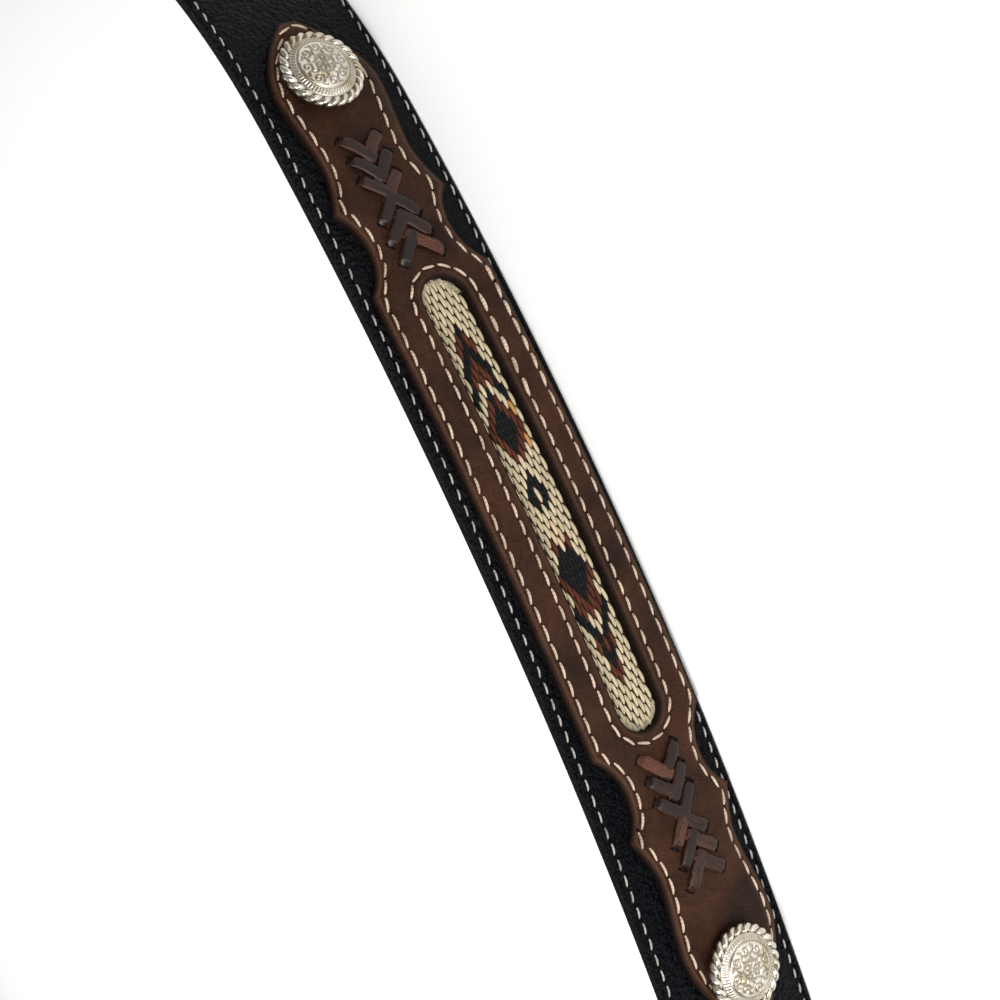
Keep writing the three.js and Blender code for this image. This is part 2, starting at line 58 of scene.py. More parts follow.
class Slot(Enum):
    """The record's material slots."""

    BLACK_LEATHER = "black_leather"
    BROWN_LEATHER = "brown_leather"
    WOVEN = "woven_ribbon"
    LACE = "lace_leather"
    SILVER = "cast_silver"
    STEEL = "plated_steel"


class End(Enum):
    """The two ends of the decorated panel, with the side of the window's middle they lie on."""

    LEFT = -1
    RIGHT = 1


# Small tools


def srgb(code: str) -> tuple[float, float, float, float]:
    """Turns an sRGB hex colour into linear light.

    Args:
        code: The colour as "#rrggbb".

    Returns:
        Linear red, green and blue, and an alpha of 1.
    """
    parts = [int(code[i:i + 2], 16) / 255 for i in (1, 3, 5)]
    linear = [p / 12.92 if p <= 0.04045 else ((p + 0.055) / 1.055) ** 2.4 for p in parts]
    return (linear[0], linear[1], linear[2], 1.0)


def put(tree: bpy.types.NodeTree, kind: str, inputs: dict | None = None, **settings) -> bpy.types.Node:
    """Adds one node with its settings, its inputs' values and its links.

    Args:
        tree: The shader or geometry tree.
        kind: The node's type name.
        inputs: For each input, by name or number, a value or the output that feeds it.
        **settings: The node's own properties.

    Returns:
        The new node.
    """
    node = tree.nodes.new(kind)
    for name, value in settings.items():
        setattr(node, name, value)
    for key, value in (inputs or {}).items():
        if isinstance(value, bpy.types.NodeSocket):
            tree.links.new(value, node.inputs[key])
        else:
            node.inputs[key].default_value = value
    return node


def smooth(share: np.ndarray) -> np.ndarray:
    """Eases a share from 0 to 1."""
    share = np.clip(share, 0.0, 1.0)
    return share * share * (3 - 2 * share)


def grid_faces(rows: int, columns: int, close_rows: bool = False, close_columns: bool = False) -> list:
    """Numbers the quads of a grid of points.

    Args:
        rows: How many rows of points there are.
        columns: How many points a row has.
        close_rows: Whether the last row joins the first one.
        close_columns: Whether a row's last point joins its first one.

    Returns:
        A list of quads.
    """
    r = np.arange(rows if close_rows else rows - 1)[:, None]
    c = np.arange(columns if close_columns else columns - 1)[None, :]
    r2 = (r + 1) % rows
    c2 = (c + 1) % columns
    quads = np.stack(
        [r * columns + c, r * columns + c2, r2 * columns + c2, r2 * columns + c], axis=-1
    )
    return quads.reshape(-1, 4).tolist()


def build_mesh(
    name: str,
    points: np.ndarray,
    faces: list,
    material: bpy.types.Material | None = None,
    layers: dict[str, np.ndarray] | None = None,
    sharp: float = 40.0,
    edges: list | None = None,
) -> bpy.types.Object:
    """Makes an object from points in millimetres, welded, with its faces outwards.

    Args:
        name: The piece's name.
        points: One row of x, y and z for each point.
        faces: The faces, as lists of point numbers.
        material: The finish it is dressed in.
        layers: Named values for each point.
        sharp: The angle in degrees above which an edge stays crisp.
        edges: Loose edges, for a path.

    Returns:
        The linked object, at the origin.
    """
    mesh = bpy.data.meshes.new(name)
    mesh.from_pydata((np.asarray(points) * MM).tolist(), edges or [], faces)
    for key, values in (layers or {}).items():
        wide = values.ndim == 2
        layer = mesh.attributes.new(key, "FLOAT_VECTOR" if wide else "FLOAT", "POINT")
        flat = np.ascontiguousarray(values, np.float32).ravel()
        layer.data.foreach_set("vector" if wide else "value", flat)
    if faces:
        work = bmesh.new()
        work.from_mesh(mesh)
        bmesh.ops.remove_doubles(work, verts=work.verts, dist=WELD)
        bmesh.ops.recalc_face_normals(work, faces=work.faces)
        work.to_mesh(mesh)
        work.free()
        mesh.shade_smooth()
        mesh.set_sharp_from_angle(angle=math.radians(sharp))
    if material:
        mesh.materials.append(material)
    piece = bpy.data.objects.new(name, mesh)
    bpy.context.scene.collection.objects.link(piece)
    return piece


def set_plain_mesh(piece: bpy.types.Object) -> None:
    """Turns a piece with modifiers into the plain mesh that they give, and removes them.

    Args:
        piece: The object with live modifiers.
    """
    graph = bpy.context.evaluated_depsgraph_get()
    mesh = bpy.data.meshes.new_from_object(piece.evaluated_get(graph))
    piece.modifiers.clear()
    piece.data = mesh


def grow(piece: bpy.types.Object, group: bpy.types.NodeTree, values: dict) -> None:
    """Runs a geometry tree on a piece and keeps the result as its plain mesh.

    Args:
        piece: The object that holds the path or the points.
        group: The geometry tree.
        values: The tree's inputs by name.
    """
    sockets = {s.name: s.identifier for s in group.interface.items_tree if s.in_out == "INPUT"}
    modifier = piece.modifiers.new(group.name, "NODES")
    modifier.node_group = group
    for name, value in values.items():
        modifier[sockets[name]] = value
    set_plain_mesh(piece)


def hand_in(piece: bpy.types.Object, slot: Slot, *nodes: str) -> None:
    """Puts a finished piece on the belt's one body, and reports it.

    Args:
        piece: The finished object.
        slot: The record's slot for the piece; not used.
        *nodes: The CAD nodes that it stands for.
    """
    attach(piece, "root")
    if nodes:
        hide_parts(*nodes)
    LOG.info("%s: %d faces", piece.name, len(piece.data.polygons))


def nearest(points: np.ndarray, targets: np.ndarray) -> np.ndarray:
    """Measures how far each point lies from the nearest of some targets.

    Args:
        points: Two columns, along and up.
        targets: Two columns, along and up.

    Returns:
        One distance for each point.
    """
    tree = KDTree(len(targets))
    for i, (a, b) in enumerate(targets):
        tree.insert((a, b, 0.0), i)
    tree.balance()
    return np.array([tree.find((a, b, 0.0))[2] for a, b in points])


def level_ring(turn: np.ndarray, radius: float, level: float) -> np.ndarray:
    """Draws a ring of points round the z axis, at one level."""
    return np.stack([radius * np.cos(turn), radius * np.sin(turn), 0 * turn + level], axis=1)


def cut_out(piece: bpy.types.Object, tool: bpy.types.Object) -> None:
    """Cuts a tool's shape out of a piece, and removes the tool.

    Args:
        piece: The piece that is cut.
        tool: The closed shape that is taken away.
    """
    cut = piece.modifiers.new("cut", "BOOLEAN")
    cut.operation = "DIFFERENCE"
    cut.solver = "EXACT"
    cut.object = tool
    set_plain_mesh(piece)
    bpy.data.objects.remove(tool)


# Finishes


@dataclass(frozen=True)
class Finish:
    """A finish with its own name. Its material is made once, when a piece first asks for it."""

    name: str = "finish"

    def material(self) -> bpy.types.Material:
        """Gives the finish's material."""
        return bpy.data.materials.get(self.name) or self.made()

    def made(self) -> bpy.types.Material:
        """Makes the material: a new one, dressed by the finish."""
        material = bpy.data.materials.new(self.name)
        material.use_nodes = True
        tree = material.node_tree
        self.dress(tree, tree.nodes["Principled BSDF"])
        return material

    def dress(self, tree: bpy.types.NodeTree, shader: bpy.types.Node) -> None:
        """Adds the finish's nodes; each finish has its own.

        Args:
            tree: The material's tree.
            shader: The shader that they feed.
        """
        raise NotImplementedError


@dataclass(frozen=True)
class OiledLeather(Finish):
    """Oil-tanned brown cowhide, cut by a die and pressed: satin, cloudy, darker at its burnished cut rim,
    with painted shade along the window's edge and a lighter line inside the rims that is partly rubbed wear,
    partly painted highlight.
    """

    name: str = "oiled_brown_cowhide"
    deep: str = "#1e0f08"
    light: str = "#4a2b1a"
    # Colour of the lighter line inside the rim and the window: partly rubbed wear, partly painted highlight.
    rubbed: str = "#75503a"
    # Colour of the burnished cut edge, and of the painted shade along the window's edge.
    cut: str = "#120a07"
    cloud_mm: float = 13.0
    pore_mm: float = 0.55
    crease_mm: float = 7.0

    def dress(self, tree: bpy.types.NodeTree, shader: bpy.types.Node) -> None:
        """Adds clouds, pores, creases, the burnished rim, painted shade along the window's edge, and a
        lighter line that is partly rubbed wear and partly painted highlight.

        Args:
            tree: The material's tree.
            shader: The shader that they feed.
        """
        flat = put(tree, "ShaderNodeAttribute", attribute_name="flat").outputs["Vector"]
        edge = put(tree, "ShaderNodeAttribute", attribute_name="edge").outputs["Fac"]
        wall = put(tree, "ShaderNodeAttribute", attribute_name="wall").outputs["Fac"]
        rub_and_highlight = put(tree, "ShaderNodeAttribute", attribute_name="rub_and_highlight").outputs["Fac"]
        cloud = put(tree, "ShaderNodeTexNoise", {
            "Vector": flat, "Scale": 1 / (self.cloud_mm * MM), "Detail": 5.0, "Roughness": 0.62,
        }).outputs[0]
        cloud = put(tree, "ShaderNodeMapRange", {0: cloud, 1: 0.32, 2: 0.68}).outputs[0]
        pore = put(tree, "ShaderNodeTexVoronoi", {
            "Vector": flat, "Scale": 1 / (self.pore_mm * MM), "Smoothness": 0.6,
        }, feature="SMOOTH_F1").outputs["Distance"]
        grain = put(tree, "ShaderNodeTexNoise", {
            "Vector": flat, "Scale": 1 / (0.5 * self.pore_mm * MM), "Detail": 3.0,
        }).outputs[0]
        fold = put(tree, "ShaderNodeTexNoise", {
            "Vector": flat, "Scale": 1 / (self.crease_mm * MM), "Detail": 4.0, "Distortion": 0.7,
        }).outputs[0]
        fold = put(tree, "ShaderNodeMath", {0: fold, 1: 0.5}, operation="SUBTRACT").outputs[0]
        fold = put(tree, "ShaderNodeMath", {0: fold}, operation="ABSOLUTE").outputs[0]
        fold = put(tree, "ShaderNodeMapRange", {0: fold, 1: 0.0, 2: 0.022, 3: 1.0, 4: 0.0}).outputs[0]
        tone = put(tree, "ShaderNodeMix", {
            0: cloud, 6: srgb(self.deep), 7: srgb(self.light),
        }, data_type="RGBA").outputs[2]
        speck = put(tree, "ShaderNodeMapRange", {0: pore, 1: 0.05, 2: 0.45, 3: 0.0, 4: 0.45}).outputs[0]
        tone = put(tree, "ShaderNodeMix", {
            0: speck, 6: tone, 7: srgb(self.deep),
        }, data_type="RGBA").outputs[2]
        # The lighter line is partly rubbed wear, partly painted highlight on the rounded edge.
        worn = put(tree, "ShaderNodeMath", {0: rub_and_highlight, 1: grain}, operation="MULTIPLY").outputs[0]
        tone = put(tree, "ShaderNodeMix", {
            0: worn, 6: tone, 7: srgb(self.rubbed),
        }, data_type="RGBA").outputs[2]
        # Darker near the outline for the burnished edge; darker near the window as painted shade of the deep
        # cut.
        tone = put(tree, "ShaderNodeMix", {0: edge, 6: tone, 7: srgb(self.cut)}, data_type="RGBA").outputs[2]
        tone = put(tree, "ShaderNodeMix", {0: wall, 6: tone, 7: srgb(self.cut)}, data_type="RGBA").outputs[2]
        rough = put(tree, "ShaderNodeMapRange", {0: grain, 1: 0.3, 2: 0.7, 3: 0.42, 4: 0.6}).outputs[0]
        height = put(tree, "ShaderNodeMath", {
            0: pore, 1: -0.5, 2: grain,
        }, operation="MULTIPLY_ADD").outputs[0]
        height = put(tree, "ShaderNodeMath", {
            0: fold, 1: -0.7, 2: height,
        }, operation="MULTIPLY_ADD").outputs[0]
        bump = put(tree, "ShaderNodeBump", {"Strength": 0.8, "Distance": 0.3 * MM, "Height": height})
        tree.links.new(tone, shader.inputs["Base Color"])
        tree.links.new(rough, shader.inputs["Roughness"])
        tree.links.new(bump.outputs[0], shader.inputs["Normal"])
        shader.inputs["Specular IOR Level"].default_value = 0.1


@dataclass(frozen=True)
class PebbledLeather(Finish):
    """Black drum-dyed cowhide with an embossed pebble: each pebble glints, pale bluish specks are partly
    dust and partly painted glint, the edge is burnished.
    """

    name: str = "pebbled_black_cowhide"
    dye: str = "#040405"
    dust_and_glint: str = "#20252e"
    backing: str = "#17120f"
    pebble_mm: float = 1.15
    wrinkle_mm: float = 3.2
    smooth_from: float = -0.05

    def dress(self, tree: bpy.types.NodeTree, shader: bpy.types.Node) -> None:
        """Adds the pebble, its glint, pale specks that are partly dust and partly painted glint, and the
        matt back.

        Args:
            tree: The material's tree.
            shader: The shader that they feed.
        """
        flat = put(tree, "ShaderNodeAttribute", attribute_name="flat").outputs["Vector"]
        parts = put(tree, "ShaderNodeSeparateXYZ", {0: flat}).outputs
        bare = put(tree, "ShaderNodeMapRange", {
            0: parts["Z"], 1: -2.0 * MM, 2: -1.2 * MM, 3: 1.0, 4: 0.0,
        }).outputs[0]
        worn = put(tree, "ShaderNodeMapRange", {
            0: parts["X"], 1: self.smooth_from, 2: self.smooth_from + 0.05, 3: 1.0, 4: 0.6,
        }).outputs[0]
        cell = put(tree, "ShaderNodeTexVoronoi", {
            "Vector": flat, "Scale": 1 / (self.pebble_mm * MM), "Smoothness": 0.35,
        }, feature="SMOOTH_F1").outputs["Distance"]
        fine = put(tree, "ShaderNodeTexNoise", {
            "Vector": flat, "Scale": 1 / (0.35 * self.pebble_mm * MM), "Detail": 3.0,
        }).outputs[0]
        wrinkle = put(tree, "ShaderNodeTexNoise", {
            "Vector": flat, "Scale": 1 / (self.wrinkle_mm * MM), "Detail": 4.0, "Distortion": 0.5,
        }).outputs[0]
        # Pale bluish specks: partly dust, partly painted glint on the pebbles.
        dust_and_glint_specks = put(tree, "ShaderNodeMapRange", {0: fine, 1: 0.5, 2: 0.72, 3: 0.0, 4: 1.0}).outputs[0]
        dust_and_glint_specks = put(tree, "ShaderNodeMath", {0: dust_and_glint_specks, 1: worn}, operation="MULTIPLY").outputs[0]
        tone = put(tree, "ShaderNodeMix", {
            0: dust_and_glint_specks, 6: srgb(self.dye), 7: srgb(self.dust_and_glint),
        }, data_type="RGBA")
        tone = put(tree, "ShaderNodeMix", {
            0: bare, 6: tone.outputs[2], 7: srgb(self.backing),
        }, data_type="RGBA").outputs[2]
        gloss = put(tree, "ShaderNodeMapRange", {0: wrinkle, 1: 0.35, 2: 0.65, 3: 0.24, 4: 0.42}).outputs[0]
        rough = put(tree, "ShaderNodeMath", {
            0: bare, 1: 0.35, 2: gloss,
        }, operation="MULTIPLY_ADD").outputs[0]
        height = put(tree, "ShaderNodeMath", {
            0: cell, 1: -2.0, 2: wrinkle,
        }, operation="MULTIPLY_ADD").outputs[0]
        height = put(tree, "ShaderNodeMath", {
            0: fine, 1: 1.0, 2: height,
        }, operation="MULTIPLY_ADD").outputs[0]
        bump = put(tree, "ShaderNodeBump", {
            "Strength": worn, "Distance": 0.8 * MM, "Height": height,
        })
        tree.links.new(tone, shader.inputs["Base Color"])
        tree.links.new(rough, shader.inputs["Roughness"])
        tree.links.new(bump.outputs[0], shader.inputs["Normal"])
        shader.inputs["Specular IOR Level"].default_value = 0.06


@dataclass(frozen=True)
class LaceLeather(Finish):
    """Soft glazed goat lace: smooth and dark where it is whole, brown and furry where it is worn."""

    name: str = "glazed_goat_lace"
    whole: str = "#190e0a"
    worn: str = "#4d2d20"
    streak_mm: float = 0.5

    def dress(self, tree: bpy.types.NodeTree, shader: bpy.types.Node) -> None:
        """Adds the worn streaks, which follow each lace.

        Args:
            tree: The material's tree.
            shader: The shader that they feed.
        """
        flat = put(tree, "ShaderNodeAttribute", attribute_name="flat").outputs["Vector"]
        wear = put(tree, "ShaderNodeAttribute", attribute_name="wear").outputs["Fac"]
        streak = put(tree, "ShaderNodeTexNoise", {
            "Vector": flat, "Scale": 1 / (self.streak_mm * MM), "Detail": 4.0, "Roughness": 0.7,
        }).outputs[0]
        mask = put(tree, "ShaderNodeMath", {0: wear, 1: streak}, operation="ADD").outputs[0]
        mask = put(tree, "ShaderNodeMapRange", {0: mask, 1: 0.85, 2: 1.3}).outputs[0]
        tone = put(tree, "ShaderNodeMix", {
            0: mask, 6: srgb(self.whole), 7: srgb(self.worn),
        }, data_type="RGBA")
        rough = put(tree, "ShaderNodeMapRange", {0: mask, 3: 0.28, 4: 0.7}).outputs[0]
        bump = put(tree, "ShaderNodeBump", {"Strength": 0.45, "Distance": 0.12 * MM, "Height": streak})
        tree.links.new(tone.outputs[2], shader.inputs["Base Color"])
        tree.links.new(rough, shader.inputs["Roughness"])
        tree.links.new(bump.outputs[0], shader.inputs["Normal"])
        shader.inputs["Specular IOR Level"].default_value = 0.24


@dataclass(frozen=True)
class SewingThread(Finish):
    """Waxed polyester thread of three twisted plies: pale, soft, with a slanted groove at each ply, darkened
    as painted shade.
    """

    name: str = "waxed_polyester_thread"
    dye: str = "#c2ad98"
    # Colour of the dirt on the thread, and of the painted shade in the grooves between plies.
    soiled_and_groove_shade: str = "#7f6a57"
    ply_mm: float = 0.85

    def dress(self, tree: bpy.types.NodeTree, shader: bpy.types.Node) -> None:
        """Adds the plies along the thread, painted shade in the grooves between them, and the dirt on it.

        Args:
            tree: The material's tree.
            shader: The shader that they feed.
        """
        place = put(tree, "ShaderNodeTexCoord").outputs["Object"]
        twist = put(tree, "ShaderNodeAttribute", attribute_name="twist").outputs["Fac"]
        turn = 2 * math.pi / (self.ply_mm * MM)
        ply = put(tree, "ShaderNodeMath", {0: twist, 1: turn}, operation="MULTIPLY").outputs[0]
        ply = put(tree, "ShaderNodeMath", {0: ply}, operation="SINE").outputs[0]
        dirt = put(tree, "ShaderNodeTexNoise", {
            "Vector": place, "Scale": 1 / (4 * MM), "Detail": 3.0,
        }).outputs[0]
        dirt = put(tree, "ShaderNodeMapRange", {0: dirt, 1: 0.42, 2: 0.75, 3: 0.0, 4: 0.8}).outputs[0]
        tone = put(tree, "ShaderNodeMix", {
            0: dirt, 6: srgb(self.dye), 7: srgb(self.soiled_and_groove_shade),
        }, data_type="RGBA")
        # Painted shade: darker in the grooves between the plies.
        groove_shade = put(tree, "ShaderNodeMapRange", {0: ply, 1: -1.0, 2: -0.3, 3: 0.3, 4: 0.0}).outputs[0]
        tone = put(tree, "ShaderNodeMix", {
            0: groove_shade, 6: tone.outputs[2], 7: srgb(self.soiled_and_groove_shade),
        }, data_type="RGBA").outputs[2]
        bump = put(tree, "ShaderNodeBump", {"Strength": 0.5, "Distance": 0.1 * MM, "Height": ply})
        tree.links.new(tone, shader.inputs["Base Color"])
        tree.links.new(bump.outputs[0], shader.inputs["Normal"])
        shader.inputs["Roughness"].default_value = 0.7


@dataclass(frozen=True)
class RibbonYarn(Finish):
    """Matt cotton yarn, loosely spun and dyed before it was woven: soft, with fibres along it."""

    name: str = "spun_cotton_yarn"
    fibre_mm: float = 0.22

    def dress(self, tree: bpy.types.NodeTree, shader: bpy.types.Node) -> None:
        """Adds the fibres and the uneven dye to the colour that each float carries.

        Args:
            tree: The material's tree.
            shader: The shader that they feed.
        """
        place = put(tree, "ShaderNodeTexCoord").outputs["Object"]
        tint = put(tree, "ShaderNodeAttribute", attribute_name="tint").outputs["Vector"]
        fibre = put(tree, "ShaderNodeTexNoise", {
            "Vector": place, "Scale": 1 / (self.fibre_mm * MM), "Detail": 3.0,
        }).outputs[0]
        shade = put(tree, "ShaderNodeMapRange", {0: fibre, 1: 0.3, 2: 0.7, 3: 0.74, 4: 1.12}).outputs[0]
        tone = put(tree, "ShaderNodeVectorMath", {0: tint, 3: shade}, operation="SCALE").outputs[0]
        bump = put(tree, "ShaderNodeBump", {"Strength": 0.6, "Distance": 0.08 * MM, "Height": fibre})
        tree.links.new(tone, shader.inputs["Base Color"])
        tree.links.new(bump.outputs[0], shader.inputs["Normal"])
        shader.inputs["Roughness"].default_value = 0.85
        shader.inputs["Specular IOR Level"].default_value = 0.15


@dataclass(frozen=True)
class CastSilver(Finish):
    """Silver-plated casting, antiqued and wiped: bright and warm on top, black in its recesses, with painted
    shade on the rope's under side.
    """

    name: str = "antiqued_silver_plate"
    bright: str = "#ddd6c8"
    warm: str = "#b5a88e"
    # Colour of the tarnish in the recesses, and of the painted shade under the rope.
    tarnish: str = "#171310"
    stain_mm: float = 4.0

    def dress(self, tree: bpy.types.NodeTree, shader: bpy.types.Node) -> None:
        """Adds the tarnish that the recesses keep, painted shade on the rope's under side, and a warm stain.

        Args:
            tree: The material's tree.
            shader: The shader that they feed.
        """
        place = put(tree, "ShaderNodeTexCoord").outputs["Object"]
        tarnish_and_shade = put(tree, "ShaderNodeAttribute", attribute_name="tarnish_and_shade").outputs["Fac"]
        stain = put(tree, "ShaderNodeTexNoise", {
            "Vector": place, "Scale": 1 / (self.stain_mm * MM), "Detail": 5.0,
        }).outputs[0]
        stain = put(tree, "ShaderNodeMapRange", {0: stain, 1: 0.38, 2: 0.66}).outputs[0]
        pits = put(tree, "ShaderNodeTexNoise", {
            "Vector": place, "Scale": 1 / (0.7 * MM), "Detail": 3.0,
        }).outputs[0]
        tone = put(tree, "ShaderNodeMix", {
            0: stain, 6: srgb(self.bright), 7: srgb(self.warm),
        }, data_type="RGBA")
        tone = put(tree, "ShaderNodeMix", {
            0: tarnish_and_shade, 6: tone.outputs[2], 7: srgb(self.tarnish),
        }, data_type="RGBA").outputs[2]
        rough = put(tree, "ShaderNodeMapRange", {0: tarnish_and_shade, 3: 0.2, 4: 0.6}).outputs[0]
        bump = put(tree, "ShaderNodeBump", {"Strength": 0.6, "Distance": 0.12 * MM, "Height": pits})
        tree.links.new(tone, shader.inputs["Base Color"])
        tree.links.new(rough, shader.inputs["Roughness"])
        tree.links.new(bump.outputs[0], shader.inputs["Normal"])
        shader.inputs["Metallic"].default_value = 1.0


@dataclass(frozen=True)
class PlatedSteel(Finish):
    """Nickel-plated zinc and steel, tumbled: satin, with fine scuffs from wear."""

    name: str = "satin_nickel_plate"
    plate: str = "#bdb7ab"
    dull: str = "#8d877b"
    scuff_mm: float = 1.2

    def dress(self, tree: bpy.types.NodeTree, shader: bpy.types.Node) -> None:
        """Adds dull clouds and scuffs.

        Args:
            tree: The material's tree.
            shader: The shader that they feed.
        """
        place = put(tree, "ShaderNodeTexCoord").outputs["Object"]
        stretched = put(tree, "ShaderNodeMapping", {"Vector": place, "Scale": (1.0, 1.0, 0.12)}).outputs[0]
        scuff = put(tree, "ShaderNodeTexNoise", {
            "Vector": stretched, "Scale": 1 / (self.scuff_mm * MM), "Detail": 5.0, "Roughness": 0.7,
        }).outputs[0]
        tone = put(tree, "ShaderNodeMix", {
            0: scuff, 6: srgb(self.plate), 7: srgb(self.dull),
        }, data_type="RGBA")
        rough = put(tree, "ShaderNodeMapRange", {0: scuff, 1: 0.3, 2: 0.7, 3: 0.26, 4: 0.46}).outputs[0]
        bump = put(tree, "ShaderNodeBump", {"Strength": 0.2, "Distance": 0.03 * MM, "Height": scuff})
        tree.links.new(tone.outputs[2], shader.inputs["Base Color"])
        tree.links.new(rough, shader.inputs["Roughness"])
        tree.links.new(bump.outputs[0], shader.inputs["Normal"])
        shader.inputs["Metallic"].default_value = 1.0


@dataclass(frozen=True)
class PlainMatt(Finish):
    """A plain matt surface: near-black painted shade for needle holes and lace slits, or the paper under the
    belt.
    """

    name: str = "needle_hole_shadow"
    # Near-black by default: painted shade inside needle holes and lace slits.
    tone: str = "#070504"
    glow: float = 0.0

    def dress(self, tree: bpy.types.NodeTree, shader: bpy.types.Node) -> None:
        """Sets the colour, with faint fibres so that it is not dead flat.

        Args:
            tree: The material's tree.
            shader: The shader that they feed.
        """
        place = put(tree, "ShaderNodeTexCoord").outputs["Object"]
        fibre = put(tree, "ShaderNodeTexNoise", {"Vector": place, "Scale": 1 / (0.8 * MM)}).outputs[0]
        rough = put(tree, "ShaderNodeMapRange", {0: fibre, 3: 0.9, 4: 1.0}).outputs[0]
        tree.links.new(rough, shader.inputs["Roughness"])
        shader.inputs["Base Color"].default_value = srgb(self.tone)
        shader.inputs["Emission Color"].default_value = srgb(self.tone)
        shader.inputs["Emission Strength"].default_value = self.glow
        shader.inputs["Specular IOR Level"].default_value = 0.1


# The belt's course


@dataclass
class BeltRoute:
    """The belt's course seen from above: arcs laid end to end, from the fold's free end to the tip."""

    bar_to_tip: float = 1070.0
    strap_width: float = 38.1
    ply: float = 2.2
    gap: float = 0.3
    bar_width: float = 3.4
    buckle_thickness: float = 3.2
    fold_length: float = 34.0
    spread_degrees: float = 30.0
    spread_radius: float = 6.0
    keeper_from_bar: float = 26.0
    front_run: int = 7
    window_share: float = 0.6024
    shares_and_turns: Pairs = (
        (0.0654, 0.0), (0.1449, 18.0), (0.1495, 61.1), (0.2327, 18.06),
        (0.1776, 71.2), (0.1738, 20.0), (0.0561, 0.0),
    )
    runs: list = field(default_factory=list)

    def __post_init__(self) -> None:
        """Lays the runs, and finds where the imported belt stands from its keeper."""
        spread = math.radians(self.spread_degrees)
        shift = 2 * self.loop_radius - 2 * self.ply - self.gap
        curved = (self.spread_radius + self.loop_radius) * (1 - math.cos(spread))
        laid = [
            (self.fold_length, 0.0),
            (self.spread_radius * spread, -spread),
            ((shift - curved) / math.sin(spread), 0.0),
            (self.loop_radius * (math.pi + spread), math.pi + spread),
        ]
        laid += [(s * self.bar_to_tip, math.radians(t)) for s, t in self.shares_and_turns]
        start, x, y, heading = 0.0, 0.0, 0.0, 0.0
        for length, turn in laid:
            self.runs.append((start, length, turn, x, y, heading))
            start += length
            (x,), (y,), (heading,) = self.raw(np.array([start]))
        self.end = start
        self.bar = self.runs[4][0]
        front = self.runs[self.front_run]
        self.window = front[0] + self.window_share * front[1]
        self.origin = np.zeros(2)
        low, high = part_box("keeper")
        centre = np.array((low + high) / 2)[:2] / MM
        back = -(2 * self.ply + self.gap) / 2
        self.origin = centre - self.place(self.bar + self.keeper_from_bar - self.window, 0.0, back)[0, :2]

    @property
    def loop_radius(self) -> float:
        """The radius of the strap's outer face where it wraps the buckle's bar."""
        return math.hypot(self.bar_width, self.buckle_thickness) / 2 + self.gap + self.ply

    def raw(self, start: np.ndarray) -> tuple[np.ndarray, np.ndarray, np.ndarray]:
        """Finds places on the laid runs.

        Args:
            start: Distances from the fold's free end.

        Returns:
            Their x, y and heading, before the belt is turned to the front.
        """
        x, y, h = np.zeros_like(start), np.zeros_like(start), np.zeros_like(start)
        for begin, length, turn, x0, y0, h0 in self.runs:
            on = start >= begin - 1e-9
            way = start[on] - begin
            if turn == 0.0:
                x[on] = x0 + way * math.cos(h0)
                y[on] = y0 + way * math.sin(h0)
                h[on] = h0
                continue
            radius = length / turn
            h[on] = h0 + way / radius
            x[on] = x0 + radius * (np.sin(h[on]) - math.sin(h0))
            y[on] = y0 - radius * (np.cos(h[on]) - math.cos(h0))
        return x, y, h

    def course(self, along: np.ndarray) -> tuple[np.ndarray, np.ndarray, np.ndarray]:
        """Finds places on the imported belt.

        Args:
            along: Distances from the window's middle.

        Returns:
            Their x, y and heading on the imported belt.
        """
        x, y, h = self.raw(np.asarray(along, float) + self.window)
        (x0,), (y0,), (h0,) = self.raw(np.array([self.window]))
        cos, sin = math.cos(h0), math.sin(h0)
        px = (x - x0) * cos + (y - y0) * sin + self.origin[0]
        py = (y - y0) * cos - (x - x0) * sin + self.origin[1]
        return px, py, h - h0

    def place(self, along: np.ndarray, up: np.ndarray, out: np.ndarray) -> np.ndarray:
        """Turns places on the belt into points in space.

        Args:
            along: Distances from the window's middle.
            up: Heights from the strap's middle line.
            out: Distances from the strap's front face.

        Returns:
            One row of x, y and z for each.
        """
        along, up, out = np.broadcast_arrays(np.atleast_1d(along).astype(float), up, out)
        x, y, h = self.course(along.ravel())
        out, up = out.ravel(), up.ravel()
        return np.stack([x + out * np.sin(h), y - out * np.cos(h), self.strap_width / 2 + up], axis=1)

    def seat(self, along: float, up: float, out: float, points: np.ndarray) -> np.ndarray:
        """Sets a rigid piece on the belt.

        Args:
            along: Its place along the belt.
            up: Its height.
            out: How far out its own origin lies.
            points: Its points, with x along the belt, y up and z out.

        Returns:
            The points in space.
        """
        _, _, (h,) = self.course(np.array([along]))
        forward = np.array([math.cos(h), math.sin(h), 0.0])
        outward = np.array([math.sin(h), -math.cos(h), 0.0])
        axes = np.stack([forward, np.array([0.0, 0.0, 1.0]), outward])
        return self.place(along, up, out) + points @ axes

    def facing(self, along: np.ndarray, side: float = 1.0) -> np.ndarray:
        """Gives the strap's outward direction at places along it, or inward with a side of -1."""
        _, _, h = self.course(along)
        return side * np.stack([np.sin(h), -np.cos(h), np.zeros_like(h)], axis=1)


# Sewing


class Layout(Enum):
    """How lengths of thread are laid: end to end along paths, or one on each point."""

    PATHS = "paths"
    POINTS = "points"


